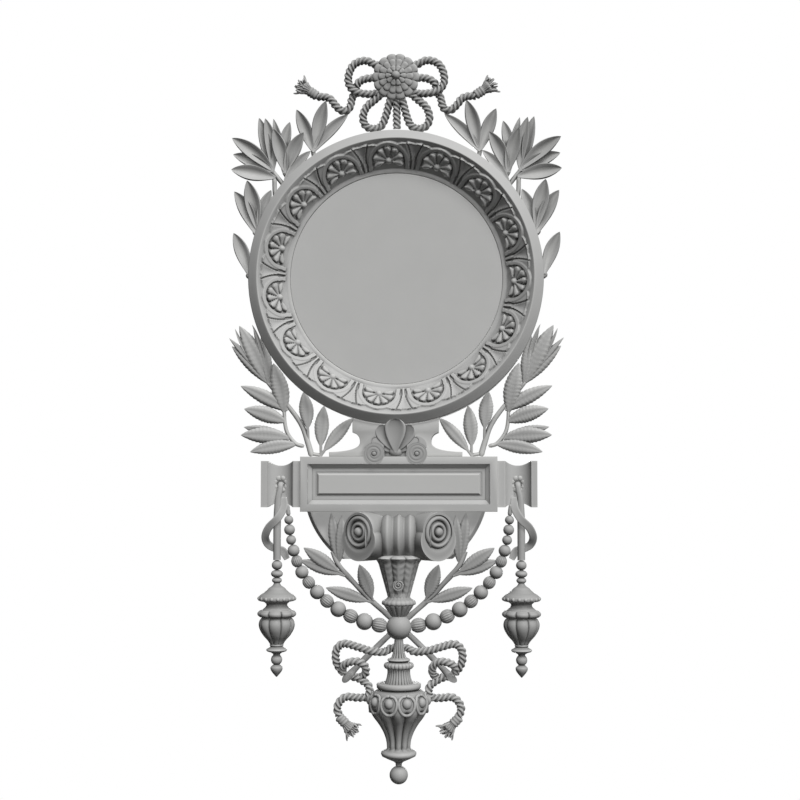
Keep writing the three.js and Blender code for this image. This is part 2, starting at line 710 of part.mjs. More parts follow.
const STEM_TOP = BEAD_Y - BIG_BEAD_RADIUS + STEM_SEAT;
const DRUM_TOP = STEM_TOP - STEM_HEIGHT;
const DISC_TOP = DRUM_TOP - DRUM_HEIGHT;
const URN_TOP = DISC_TOP - DISC_HEIGHT;
const URN_BOTTOM = URN_TOP - URN_HEIGHT;
const END_BALL_Y = URN_BOTTOM - END_STEM_HEIGHT - END_BALL_RADIUS;

function urnProfile() {
  const h = URN_HEIGHT;
  const r = URN_RADIUS;
  const shares = [[0, 0.7], [0.14, 0.93], [0.31, 1], [0.48, 0.75], [0.68, 0.46]];
  return [...shares.map(([down, wide]) => [r * wide, -h * down]), [r * 0.42, -h * 0.88]];
}

function centrePendant() {
  const neck = [
    [0, 0],
    [STEM_TOP_RADIUS, 0],
    [STEM_FOOT_RADIUS, -STEM_HEIGHT + 3],
    [LIP_RADIUS, -STEM_HEIGHT],
    [STEM_FOOT_RADIUS + 1, -STEM_HEIGHT - 3],
    [DRUM_RADIUS, -STEM_HEIGHT - 8],
    [DRUM_RADIUS * 0.78, -STEM_HEIGHT - 13],
    [DRUM_RADIUS, -STEM_HEIGHT - DRUM_HEIGHT],
    [DISC_RADIUS, -STEM_HEIGHT - DRUM_HEIGHT],
    [DISC_RADIUS, -STEM_HEIGHT - DRUM_HEIGHT - DISC_HEIGHT + 1],
    [0, -STEM_HEIGHT - DRUM_HEIGHT - DISC_HEIGHT + 1],
  ];
  const upper = onAxis(turned(neck.reverse(), 12), STEM_TOP);
  const bowl = urnProfile();
  const lobed = [3, 4, 5, 6];
  const urn = [
    [0, 2],
    [URN_RADIUS * 0.5, 2],
    ...bowl,
    [URN_FOOT_RADIUS, -URN_HEIGHT - 1],
    [URN_FOOT_RADIUS * 0.85, -URN_HEIGHT - 8],
    [END_STEM_RADIUS, -URN_HEIGHT - 13],
    [END_STEM_RADIUS, -URN_HEIGHT - END_STEM_HEIGHT - 1],
    [0, -URN_HEIGHT - END_STEM_HEIGHT - 2],
  ].reverse();
  const rows = urn.map((row, i) => urn.length - 1 - i);
  const flutes = rows.flatMap((row, i) => (lobed.includes(row) ? [i] : []));
  const lower = onAxis(turned(urn, 2 * URN_LOBES, fluted(0.13, flutes)), URN_TOP);
  const pearls = [];
  for (let i = 0; i < URN_LOBES; i += 1) {
    const angle = ((i + 0.5) * 2 * Math.PI) / URN_LOBES;
    if (Math.cos(angle) < 0) continue;
    const reach = URN_RADIUS * 0.94;
    const pearl = new THREE.SphereGeometry(URN_PEARL_RADIUS, 6, 3);
    pearl.translate(reach * Math.sin(angle), -URN_HEIGHT * 0.2, reach * Math.cos(angle));
    pearls.push(onAxis(pearl, URN_TOP));
  }
  const ball = onAxis(new THREE.SphereGeometry(END_BALL_RADIUS, 10, 5), END_BALL_Y);
  return cut(joined(upper, lower, ...pearls, ball), bigBead(GAP), wallSide());
}

// Side pendants, drawn on the left

const PENDANT_X = LOWER_SHIFT - SCOOP_X - PENDANT_OFFSET;
const ROD_BOTTOM = BLOCK_BOTTOM - ROD_DROP;
const SWAG_RADIUS = SCOOP_X + PENDANT_OFFSET - SWAG_INSET;

function pendantCord(clearance = 0) {
  const holeX = LOWER_SHIFT - SCOOP_X;
  const floor = BLOCK_DEPTH - SCOOP_DEPTH;
  const path = through([
    [holeX, TABLET_MIDDLE, floor - 9],
    [holeX, TABLET_MIDDLE - 1, floor + 2],
    [holeX - 0.5, TABLET_MIDDLE - 8, floor + CORD_RADIUS + 1.5],
    [PENDANT_X + 1, BLOCK_BOTTOM + 10, PENDANT_DEPTH - 1],
    [PENDANT_X, BLOCK_BOTTOM - 20, PENDANT_DEPTH],
    [PENDANT_X, ROD_BOTTOM - 1, PENDANT_DEPTH],
  ]);
  const stations = [0, 0.09, 0.17, 0.3, 0.45, 1];
  return swept(path, 6, stations.length - 1, (row, x, z) => {
    const radius = THREE.MathUtils.lerp(CORD_RADIUS, ROD_RADIUS, Math.min(1, stations[row] * 2)) + clearance;
    return [x * radius, z * radius];
  }, (row) => stations[row]);
}

function sidePendant() {
  const h = PENDANT_SHARE;
  const beads = [
    [0, 2],
    [ROD_RADIUS, 2],
    [ROD_RADIUS, -2],
    [7.2 * h, -8 * h],
    [4.5 * h, -14 * h],
    [8.2 * h, -19 * h],
    [4.5 * h, -24 * h],
    [6.8 * h, -28 * h],
    [4.2 * h, -33 * h],
    [0, -33 * h],
  ];
  const drop = [
    [0, -30 * h],
    [4.2 * h, -31 * h],
    [CAP_RADIUS, -51 * h],
    [CAP_RADIUS - 2, -57 * h],
    [14.5 * h, -60 * h],
    [LOBE_RING_RADIUS, -73 * h],
    [BODY_RADIUS * 0.86, -79 * h],
    [BODY_RADIUS, -90 * h],
    [8.5 * h, -117 * h],
    [13.8 * h, -124 * h],
    [0, -128 * h],
  ];
  const end = [
    [0, -126 * h],
    [6 * h, -129 * h],
    [DROP_BALL_RADIUS, -138 * h],
    [5 * h, -144 * h],
    [8.3 * h, -149 * h],
    [0, -PENDANT_HEIGHT],
  ];
  const place = (body) => solid(body.translate(PENDANT_X, ROD_BOTTOM, PENDANT_DEPTH));
  const lobed = [2, 3, 4, 5];
  const pieces = [
    turned(beads.reverse(), 8),
    turned(drop.reverse(), 2 * BODY_LOBES, fluted(0.14, lobed)),
    turned(end.reverse(), 8),
  ].map(place);
  return cut(joined(pendantCord(), ...pieces), endBlock(GAP), wallSide());
}

// The ribbon that leaves the scoop, crosses the cord in front, turns and ends behind it
function ribbonPath(clearance = 0) {
  const x = PENDANT_X;
  const y = TABLET_BOTTOM;
  const front = PENDANT_DEPTH + ROD_RADIUS + RIBBON_THICKNESS / 2 + 1;
  const back = PENDANT_DEPTH - ROD_RADIUS - RIBBON_THICKNESS / 2 - 1;
  const path = through([
    [x + 9, y + 20, BLOCK_DEPTH - SCOOP_DEPTH + RIBBON_THICKNESS / 2 + 1],
    [x + 9, y + 5, PENDANT_DEPTH + 3],
    [x + 1, y - 10, front],
    [x - 11, y - 22, front - 3],
    [x - 16.5, y - 35, PENDANT_DEPTH],
    [x - 13, y - 46, back + 2],
    [x - 2, y - 52, back],
    [x + 7, y - 55, back],
    [x + 13, y - 66, back + 1],
  ]);
  return swept(path, 4, 9, (row, across, outward) => [
    across * (RIBBON_WIDTH / 2 + clearance),
    outward * (RIBBON_THICKNESS / 2 + clearance),
  ]);
}

const ribbon = () => cut(ribbonPath(), pendantCord(GAP), endBlock(GAP));

// Garland, drawn on the left

// Its beads grow toward the middle, a small one and a large one by turns, on one curved string
function garland() {
  const drop = TABLET_BOTTOM - BEAD_Y;
  const arc = (degrees) => {
    const angle = THREE.MathUtils.degToRad(degrees);
    const tall = THREE.MathUtils.lerp(SWAG_RADIUS, drop, Math.sin(angle) ** 2);
    const tuck = SWAG_TUCK * Math.max(0, 1 - (Math.sin(angle) / SWAG_TUCK_SINE) ** 2);
    const x = LOWER_SHIFT + SWAG_RADIUS * Math.cos(angle) + tuck;
    return [x, TABLET_BOTTOM - tall * Math.sin(angle), SWAG_DEPTH];
  };
  const reach = Math.asin((BIG_BEAD_RADIUS + GAP) / SWAG_RADIUS);
  const last = 90 + THREE.MathUtils.radToDeg(reach);
  const points = [];
  for (let i = 0; i <= 12; i += 1) {
    points.push(arc(THREE.MathUtils.lerp(SWAG_START, last, i / 12)));
  }
  const [topX, topY] = points[0];
  const hook = [
    [topX - 1.5, topY + SWAG_HOOK, SWAG_DEPTH + 1],
    [topX - 0.5, topY + SWAG_HOOK / 2, SWAG_DEPTH + 1],
  ];
  const string = through([...hook, ...points]);
  const length = string.getLength();
  const lead = SWAG_HOOK;
  const sizes = [];
  for (let i = 0; i < SWAG_BEADS; i += 1) {
    const share = i / (SWAG_BEADS - 1);
    const small = THREE.MathUtils.lerp(SWAG_SMALL_FIRST, SWAG_SMALL_LAST, share);
    sizes.push(i % 2 === 0 ? small : THREE.MathUtils.lerp(SWAG_LARGE_FIRST, SWAG_LARGE_LAST, share));
  }
  const fit = (length - lead) / sizes.reduce((sum, radius) => sum + 2 * radius, 0);
  const rings = [[0, 1.5], [lead * 0.4, 3], [lead * 0.85, 3], [lead, 1.5]];
  let travelled = lead;
  sizes.forEach((size, i) => {
    const radius = size * fit;
    rings.push([travelled + radius * 0.45, size * 0.9]);
    rings.push([travelled + radius * 1.55, size * 0.9]);
    rings.push([travelled + radius * 2, i === SWAG_BEADS - 1 ? size * 0.5 : 3]);
    travelled += 2 * radius;
  });
  const body = swept(string, 6, rings.length - 1, (row, x, z) => [x * rings[row][1], z * rings[row][1]],
    (row) => Math.min(1, rings[row][0] / length));
  return cut(body, bigBead(GAP), endBlock(GAP), pendantCord(GAP), ribbonPath(GAP));
}

// Sprays

const fromRim = (degrees, away, out) => {
  const angle = THREE.MathUtils.degToRad(degrees);
  const radius = RING_RADIUS + away;
  return [radius * Math.cos(angle), radius * Math.sin(angle), out];
};

// The left laurel spray. Each leaf: angle on the rim, distance from it, heading, length, width, and rise.
const LAUREL_LEAVES = [
  [123, 11, 46, 72, 17, 6],
  [121.5, 14, 76, 66, 20, 13],
  [123, 13, 111, 61, 19, 8],
  [135.7, 13, 64, 60, 20, 12],
  [133.7, 27, 80, 57, 16, 2],
  [136.5, 14, 101, 80, 13, 0],
  [138.5, 28, 98, 74, 18, 8],
  [138.7, 35, 101, 73, 17, 2],
  [136, 12, 105, 62, 21, 15],
  [138.5, 28, 142, 72, 21, 12],
  [138.5, 26, 157, 63, 19, 2],
  [139.8, 19, 171, 62, 23, 10],
  [139.5, 3, 51, 60, 15, 4],
  [158.9, 3, 71, 55, 17, 2],
  [160, 4, 101, 69, 23, 10],
  [162, 3, 117, 68, 21, 3],
  [178, 3, 110, 62, 20, 5],
];

// Its short stems: angle and distance at the leaf end, then where each runs under the rim
const LAUREL_STEMS = [
  [122.3, 17, 125, -10],
  [131, 20, 136, -9],
  [136, 17, 137.5, -9],
  [138.5, 32, 140.5, -10],
  [139.3, 5, 141, -9],
  [140, 20, 149, -8],
  [161, 8, 163, -10],
  [178, 6, 180, -10],
];

// The strip that carries the spray, hidden in the rebate behind the ring
function laurelRoot() {
  const [first, last] = [120, 184].map((degrees) => THREE.MathUtils.degToRad(degrees));
  const outer = RING_RADIUS - 1;
  const inner = RING_RADIUS - REBATE_WIDTH + 1;
  const strip = new THREE.Shape();
  strip.absarc(0, 0, outer, first, last, false);
  strip.absarc(0, 0, inner, last, first, true);
  strip.closePath();
  const depth = REBATE_DEPTH - GAP - 1;
  return solid(new THREE.ExtrudeGeometry(strip, { depth, bevelEnabled: false, curveSegments: 6 }));
}

function laurel() {
  const share = SPRAY_SHARE;
  const leaves = LAUREL_LEAVES.map(([at, away, heading, length, width, rise]) => leaf({
    from: fromRim(at, away * share, LAUREL_DEPTH),
    heading,
    length: length * share,
    width: width * share,
    rise: rise * share,
    bend: heading > 90 ? -2 : 2,
  }));
  const rootDepth = (REBATE_DEPTH - GAP) / 2;
  const stems = LAUREL_STEMS.map(([at, away, under, inward]) => stem([
    fromRim(at, away * share, LAUREL_DEPTH - 0.5),
    fromRim((at + under) / 2, away * share * 0.3, rootDepth + 1),
    fromRim(under, inward * share, rootDepth),
  ], STEM_RADIUS));
  return cut(joined(...leaves, ...stems, laurelRoot()), ringBody(GAP), wallSide());
}

// The left olive spray, from its foot on the tablet's top: base x, y, then heading, length, width
const OLIVE_FOOT_X = -TABLET_WIDTH / 2 + OLIVE_FOOT_INSET;
const OLIVE_STEM = [[1, 1], [-4.5, 20], [-13, 44], [-29.5, 68], [-50, 91], [-63, 107]];
const OLIVE_TWIG = [[-10, 15], [-22, 19], [-33, 33], [-37, 48], [-38, 66]];
const OLIVE_FOOT = [[-3, 5], [7, 3], [16, 2]];
// Each leaf: base, heading, length, width, rise, and the bare stalk before the blade
const OLIVE_LEAVES = [
  [-62, 105, 116, 88, 25, 10, 0],
  [-60, 104, 135, 73, 18, 5, 0],
  [-60, 103, 99, 67, 16, 5, 0],
  [-64, 108, 131, 78, 10, 8, 0],
  [-64, 108, 103, 76, 8, 8, 0],
  [-38, 63, 102, 70, 24, 9, 0],
  [-33, 66, 153, 74, 20, 6, 0],
  [-37, 50, 163, 59, 22, 8, 0],
  [-32, 27, 177, 66, 23, 9, 0],
  [-31, 25, 165, 66, 16, 2, 0],
  [-22, 18, 190, 64, 19, 7, 0],
  [-4, 24, 95, 68, 20, 8, 18],
  [14, 2, 86, 70, 20, 8, 15],
  [13, 1, 49, 71, 17, 6, 12],
];

function olive() {
  const footX = LOWER_SHIFT + OLIVE_FOOT_X;
  const share = SPRAY_SHARE;
  const at = (x, y) => [footX + x * share, TABLET_TOP + y * share, OLIVE_DEPTH];
  const leaves = OLIVE_LEAVES.map(([x, y, heading, length, width, rise, stalk]) => leaf({
    from: at(x, y),
    heading,
    length: length * share,
    width: width * share,
    rise: rise * share,
    stalk: stalk * share,
    bend: heading > 90 ? -1.5 : 1.5,
  }));
  const main = stem(OLIVE_STEM.map(([x, y]) => at(x, y)), BRANCH_RADIUS, 2.4, 4);
  const twigs = [OLIVE_TWIG, OLIVE_FOOT].map((points) => stem(points.map(([x, y]) => at(x, y)), 3, 2.6));
  const tools = [ringBody(GAP), ringFill(), tabletBlock(GAP), neckEnvelope(), wallSide()];
  return cut(joined(...leaves, main, ...twigs), ...tools);
}

// The neck board's foot, grown by the gap
function neckEnvelope() {
  const half = NECK_FOOT_WIDTH / 2 + GAP;
  return box(-half, half, TABLET_TOP, TABLET_TOP + NECK_FOOT_HEIGHT + 1 + GAP, 0, NECK_DEPTH + GAP);
}

// The two cut branches that cross behind the big bead, drawn from the bead's middle
const BRANCH_PATH = [
  [-92, 104, 27],
  [-83, 84, 27],
  [-60, 57, 19],
  [-37, 33, 12],
  [0, 0, 8],
  [44, -42, 12],
  [79, -78, 18],
];
// Each leaf: base, heading, length, width, rise, and the bare stalk before the blade
const BRANCH_LEAVES = [
  [-84, 90, 27, 98, 69, 17, 4, 0],
  [-83, 90, 27, 86, 65, 15, 7, 0],
  [-76, 71, 25, 146, 68, 19, 4, 12],
  [-75, 70, 25, 161, 66, 17, 0, 10],
  [-36, 33, 13, 110, 56, 20, 10, 8],
  [-36.5, 32, 13, 162, 69, 18, 8, 10],
];

const BRANCH_SHARE = SWAG_RADIUS / BRANCH_SWAG_RADIUS;
const fromBead = (side) => ([x, y, out]) => [
  LOWER_SHIFT + side * x * BRANCH_SHARE,
  BEAD_Y + y * BRANCH_SHARE,
  out * BRANCH_SHARE,
];

function branchBars(clearance = 0) {
  return [-1, 1].map((side) =>
    stem(BRANCH_PATH.map(fromBead(-side)), BRANCH_RADIUS - 0.8 + clearance, BRANCH_RADIUS + clearance, 5));
}

function crossedBranches() {
  const twig = (side) => ([x, y, out, heading, length, width, rise, stalk]) => leaf({
    from: fromBead(side)([x, y, out]),
    heading: side > 0 ? heading : 180 - heading,
    length: length * BRANCH_SHARE,
    width: width * BRANCH_SHARE,
    rise: rise * BRANCH_SHARE,
    stalk: stalk * BRANCH_SHARE,
  });
  const twigs = [1, -1].flatMap((side) => BRANCH_LEAVES.map(twig(side)));
  const above = [tabletBlock(GAP), apronDish(GAP), bolster(GAP), volute(-1, GAP), volute(1, GAP)];
  const beside = [bigBead(GAP), coneEnvelope(), stemEnvelope(), wallSide()];
  return cut(joined(...branchBars(), ...twigs), ...above, ...beside);
}

// The torch's cone and the centre pendant's neck, each grown by the gap
function coneEnvelope() {
  const reach = CUP_FOOT_RADIUS + GAP;
  const body = new THREE.CylinderGeometry(COLLAR_RADIUS + GAP, reach, COLLAR_HEIGHT + CONE_HEIGHT, 16);
  return onAxis(body, CONE_BOTTOM + (COLLAR_HEIGHT + CONE_HEIGHT) / 2);
}

function stemEnvelope() {
  const wide = STEM_FOOT_RADIUS + GAP;
  return onAxis(new THREE.CylinderGeometry(STEM_TOP_RADIUS + GAP, wide, STEM_HEIGHT, 14),
    STEM_TOP - STEM_HEIGHT / 2);
}

// Bows. Each half is drawn on the left and mirrored about its own middle line.

// A tassel: a bound cap and a flared fringe, from a point, along a heading
function tassel([x, y, out], heading) {
  const cap = ROPE_RADIUS + 1.2;
  const profile = [[0, -3], [cap, -3], [cap + 0.4, 8], [TASSEL_RADIUS, TASSEL_LENGTH], [0, 26]];
  const body = turned(profile, 8, (column, row, radius, height) => {
    const ragged = row === 3 && column % 2 === 1 ? 0.86 : 1;
    return [radius * ragged, height * ragged];
  });
  body.scale(1, 1, 0.75);
  body.rotateZ(THREE.MathUtils.degToRad(heading - 90));
  return solid(body.translate(x, y, out));
}

const BOW_LOOP = [
  [0, -29, 16], [-12, -31, 16], [-22, -35, 22], [-40, -33, 27], [-57, -28, 26],
  [-76, -24, 22], [-86, -31, 20], [-88, -44, 18], [-85, -55, 16], [-77, -66, 14],
];
const BOW_KNOT = [
  [-77, -66, 14], [-78, -56, 20], [-68, -49, 27], [-56, -48, 27],
  [-47, -55, 22], [-47, -66, 15], [-56, -72, 12], [-68, -70, 12],
];
const BOW_TAIL = [
  [-62, -70, 12], [-51, -76, 14], [-43, -82, 16], [-41, -91, 17], [-45, -98, 17],
  [-58, -99, 16], [-73, -98, 16], [-82, -104, 16], [-86, -114, 16], [-83, -124, 16],
];

function cordBow() {
  const runs = [-1, 1].flatMap((side) => {
    const place = fromBead(-side);
    return [
      ...[BOW_LOOP, BOW_KNOT, BOW_TAIL].map((points) => rope(points.map(place))),
      tassel(place([-82, -127, 16]), side < 0 ? -46 : -134),
    ];
  });
  return cut(joined(...runs), ...branchBars(GAP), pendantEnvelope(), wallSide());
}

// The centre pendant above its disc, grown by the gap
function pendantEnvelope() {
  const urn = urnProfile().map(([radius, height]) => [radius + GAP + 1, height]);
  const body = turned([[0, -URN_HEIGHT * 0.88], ...urn.reverse(), [0, 0]], 20);
  return joined(stemEnvelope(), onAxis(body, URN_TOP),
    onAxis(new THREE.CylinderGeometry(DISC_RADIUS + GAP, DISC_RADIUS + GAP, DISC_HEIGHT + 2, 20),
      DISC_TOP - DISC_HEIGHT / 2));
}

// Crest bow, drawn from the ring's top
const CREST_LOOP = [[0, 92, 16], [-29, 98, 17], [-40, 103, 18], [-50, 103, 18], [-60, 98, 18], [-66, 88, 18],
  [-68, 76, 18], [-65, 66, 19], [-58, 59, 20], [-46, 56, 20], [-28, 57, 18], [0, 70, 16]];
const CREST_STRAND = [[0, 79, 16], [-34, 79, 17], [-46, 77, 17], [-54, 72, 16], [-58, 62, 14]];
const CREST_TAIL = [[-58, 60, 14], [-63, 50, 14], [-65, 40, 15], [-70, 33, 16], [-78, 33, 17], [-86, 40, 18],
  [-92, 48, 18], [-100, 52, 17], [-112, 53, 16]];
const CREST_DROP = [[-12, 64, 16], [-31, 47, 18], [-42, 37, 18], [-47, 23, 17], [-43, 11, 16], [-32, 6.5, 16],
  [-21, 11, 16], [-15, 24, 17], [-10, 42, 18], [-4, 60, 16]];

function crestBow() {
  const runs = [1, -1].flatMap((side) => {
    const place = ([x, y, out]) => [side * x * SPRAY_SHARE, RING_TOP + y * SPRAY_SHARE, out * SPRAY_SHARE];
    return [
      ...[CREST_LOOP, CREST_STRAND, CREST_TAIL, CREST_DROP].map((points) => rope(points.map(place))),
      tassel(place([-114, 55, 17]), side > 0 ? 147 : 33),
    ];
  });
  const middle = rope([
    [0, RING_TOP + CREST_HEIGHT, KNOT_DEPTH],
    [0.5, RING_TOP + CREST_HEIGHT / 2, KNOT_DEPTH],
    [1, RING_TOP - 2, KNOT_DEPTH],
  ]);
  const wide = ROSETTE_HUB_RADIUS;
  const hub = new THREE.CylinderGeometry(wide, wide, ROSETTE_DEPTH - GAP - 8, 12).rotateX(Math.PI / 2);
  hub.translate(0, RING_TOP + CREST_HEIGHT, (ROSETTE_DEPTH - GAP + 8) / 2);
  const front = box(-BEYOND, BEYOND, 0, BEYOND, ROSETTE_DEPTH - GAP, BEYOND);
  return cut(joined(...runs, middle, solid(hub)), ringBody(GAP), front, wallSide());
}

function crestRosette() {
  const tier = (radius, low, high, petals) => turned([
    [0, high * 0.8],
    [radius * 0.82, high],
    [radius, low],
    [0, low],
  ], 2 * petals, (column, row, r, h) => {
    const groove = column % 2 === 1 && row > 0 && row < 3;
    return [groove ? r * 0.93 : r, groove && row === 1 ? h - 1.6 : h];
  });
  const outer = tier(ROSETTE_RADIUS, 0, ROSETTE_HEIGHT * 0.7, ROSETTE_PETALS);
  const inner = tier(ROSETTE_RADIUS * 0.47, ROSETTE_HEIGHT * 0.4, ROSETTE_HEIGHT, 8);
  const ball = new THREE.SphereGeometry(ROSETTE_BEAD_RADIUS, 6, 4).translate(0, ROSETTE_HEIGHT, 0);
  return joined(...[outer, inner, ball].map((piece) =>
    solid(piece.rotateX(Math.PI / 2).translate(0, RING_TOP + CREST_HEIGHT, ROSETTE_DEPTH))));
}

// The frame

// A right-hand copy of a left-hand piece, mirrored about a middle line
function mirror(name, body, line = 0) {
  const piece = node(name, body, true);
  piece.geometry.translate(2 * line, 0, 0);
  return piece;
}

const frame = new THREE.Group();
frame.rotation.x = Math.PI / 2;
frame.add(node('ring_frame', ringFrame()));
frame.add(node('dial_plate', dialPlate()));
frame.add(node('backboard', backboard()));
frame.add(node('tablet', tablet()));
frame.add(node('shell', shell()));
frame.add(node('capital', capital()));
frame.add(node('torch', torch()));
frame.add(node('big_bead', bigBead()));
frame.add(node('centre_pendant', centrePendant()));
frame.add(node('crossed_branches', crossedBranches()));
frame.add(node('cord_bow', cordBow()));
frame.add(node('crest_bow', crestBow()));
frame.add(node('crest_rosette', crestRosette()));

const pairs = [
  ['end_block', endBlock(), LOWER_SHIFT],
  ['side_pendant', sidePendant(), LOWER_SHIFT],
  ['ribbon', ribbon(), LOWER_SHIFT],
  ['garland', garland(), LOWER_SHIFT],
  ['laurel', laurel(), 0],
  ['olive', olive(), 0],
];
for (const [name, body, line] of pairs) {
  frame.add(node(`${name}_left`, body));
  frame.add(mirror(`${name}_right`, body, line));
}

export default frame;
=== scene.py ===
"""A carved limewood wall frame in matt stone-grey paint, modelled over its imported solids."""

import bisect
import math
from types import SimpleNamespace

import bmesh
import bpy
from mathutils import Matrix, Vector


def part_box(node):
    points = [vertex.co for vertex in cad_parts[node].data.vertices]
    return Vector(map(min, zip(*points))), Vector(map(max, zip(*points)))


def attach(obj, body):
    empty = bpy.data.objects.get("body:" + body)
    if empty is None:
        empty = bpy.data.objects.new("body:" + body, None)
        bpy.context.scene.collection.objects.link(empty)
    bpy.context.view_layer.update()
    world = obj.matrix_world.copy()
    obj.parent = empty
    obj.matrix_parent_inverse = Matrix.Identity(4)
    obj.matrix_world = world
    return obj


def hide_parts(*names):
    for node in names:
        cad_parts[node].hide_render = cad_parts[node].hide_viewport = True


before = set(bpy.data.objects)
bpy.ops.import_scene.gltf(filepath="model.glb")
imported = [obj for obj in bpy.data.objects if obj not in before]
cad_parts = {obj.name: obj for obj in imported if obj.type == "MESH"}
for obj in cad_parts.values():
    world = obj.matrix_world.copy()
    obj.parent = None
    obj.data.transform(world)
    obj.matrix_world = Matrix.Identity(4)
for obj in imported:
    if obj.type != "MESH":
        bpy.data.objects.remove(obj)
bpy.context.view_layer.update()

bl_info = {
    "name": "Carved Wall Frame",
    "version": (1, 0, 0),
    "blender": (4, 5, 0),
    "location": "3D View > Sidebar > Carved Frame",
    "description": "Carves the leaves, ropes, mouldings and turned pendants of a painted wall frame",
    "category": "Add Mesh",
}

# All sizes are in millimetres on the wall: x to the right, y up, and out from the wall.
MM = 0.001
OUT = Vector((0, 0, 1))
FULL = 2 * math.pi


def span(node):
    """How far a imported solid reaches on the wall."""
    low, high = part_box(node)
    return SimpleNamespace(
        left=low.x / MM,
        right=high.x / MM,
        low=low.z / MM,
        high=high.z / MM,
        back=-high.y / MM,
        front=-low.y / MM,
    )


RING = span("ring_frame")
TABLET = span("tablet")
BLOCK = span("end_block_left")
BEAD = span("big_bead")
PLATE = span("dial_plate")
PENDANT = span("side_pendant_left")
ROSETTE = span("crest_rosette")

# Ring
RING_RADIUS = RING.high
CREST_RADIUS = RING_RADIUS - 14
CREST_DEPTH = 48
EDGE_DEPTH = 39
BAND_INNER = 156
BAND_LOW = 16
BAND_OUTER = CREST_RADIUS - 1.5
BAND_HIGH = CREST_DEPTH - 1.7
SIGHT_RADIUS = 149.6
MOTIFS = 15
FIRST_MOTIF = math.radians(93.7)
MOTIF_STEPS = 70
BAND_ROWS = 54

# Middle line of the tablet and of everything below it
MIDDLE = (TABLET.left + TABLET.right) / 2
BEAD_Y = (BEAD.low + BEAD.high) / 2
BEAD_RADIUS = (BEAD.high - BEAD.low) / 2
AXIS_OUT = (BEAD.back + BEAD.front) / 2
TABLET_MIDDLE = (TABLET.low + TABLET.high) / 2
SCOOP_X = (BLOCK.left + BLOCK.right) / 2 - 1.2
PENDANT_X = (PENDANT.left + PENDANT.right) / 2
PENDANT_OUT = 30
ROD_BOTTOM = BLOCK.low - 73
NECK_DEPTH = 34
APRON_DROP = 66
APRON_RISE = 37.5
APRON_RADIUS = 130


class Sizes(bpy.types.PropertyGroup):
    """Sizes of the fine carving."""

    rope: bpy.props.FloatProperty(
        name="Rope radius", description="Radius of the carved ropes in mm", default=5.9
    )
    strand: bpy.props.FloatProperty(
        name="Strand spacing", description="Distance between strands along a rope in mm", default=6.7
    )
    relief: bpy.props.FloatProperty(
        name="Palmette relief", description="Height of the palmette lobes in mm", default=5.0
    )
    arch: bpy.props.FloatProperty(name="Arch relief", description="Height of the arches in mm", default=2.6)
    teeth: bpy.props.IntProperty(
        name="Leaf teeth", description="Teeth on each side of an olive leaf", default=13
    )
    valley: bpy.props.FloatProperty(
        name="Leaf fold",
        description="Depth of a laurel leaf's fold as a share of half its width",
        default=0.78,
    )
    leaf_edge: bpy.props.FloatProperty(
        name="Leaf edge", description="Half the thickness of a leaf's edge in mm", default=1.1
    )


class Paint(bpy.types.PropertyGroup):
    """Colours and finish of the paint."""

    coat: bpy.props.StringProperty(
        name="Paint", description="sRGB colour of the stone-grey paint", default="a6a6a5"
    )
    worn: bpy.props.StringProperty(
        name="Worn paint", description="sRGB colour on rubbed edges", default="b2b2b0"
    )
    # A darker copy of the coat, laid on the turned and applied carving as painted shade.
    shaded_coat: bpy.props.StringProperty(
        name="Glazed paint",
        description="sRGB colour where a thin grey glaze is wiped over it",
        default="8f8f8e",
    )
    # The dark colour of the painted shade laid into hollows, creases and recesses.
    hollow: bpy.props.StringProperty(
        name="Hollows", description="sRGB colour of dust in hollows", default="3e3e3d"
    )
    plate: bpy.props.StringProperty(
        name="Plate", description="sRGB colour of the blank plate", default="a6a6a5"
    )
    floor: bpy.props.StringProperty(name="Floor", description="sRGB colour of the floor", default="f2f2f0")


class Stage(bpy.types.PropertyGroup):
    """Light and camera."""

    key: bpy.props.FloatProperty(
        name="Key light", description="Strength of the shadowless light", default=3.0
    )
    modelling: bpy.props.FloatProperty(
        name="Modelling light", description="Strength of the light that throws soft shadows", default=1.9
    )
    rear: bpy.props.FloatProperty(
        name="Rear light", description="Strength of the light that falls square on the back", default=1.8
    )
    fill: bpy.props.FloatProperty(
        name="Fill", description="Strength of the light from all round", default=0.03
    )
    distance: bpy.props.FloatProperty(
        name="Camera distance",
        description="Distance of the camera from the wall",
        default=1.96,
        unit="LENGTH",
    )


def sizes():
    """The sizes of the fine carving."""
    return bpy.context.scene.carved_sizes


def paint():
    """The colours of the paint."""
    return bpy.context.scene.carved_paint


# Curves and skins


def at(x, y, out):
    """A point on the wall, in metres in the shared frame."""
    return Vector((x, -out, y)) * MM


def soft(points, fine=6):
    """A smooth line through points, in two or three dimensions."""
    knots = [Vector(point) for point in points]
    knots = [2 * knots[0] - knots[1], *knots, 2 * knots[-1] - knots[-2]]
    line = []
    for a, b, c, d in zip(knots, knots[1:], knots[2:], knots[3:]):
        for k in range(fine):
            t = k / fine
            bend = (2 * a - 5 * b + 4 * c - d) * t**2 + (3 * b - a - 3 * c + d) * t**3
            line.append(0.5 * (2 * b + (c - a) * t + bend))
    return [*line, knots[-2]]


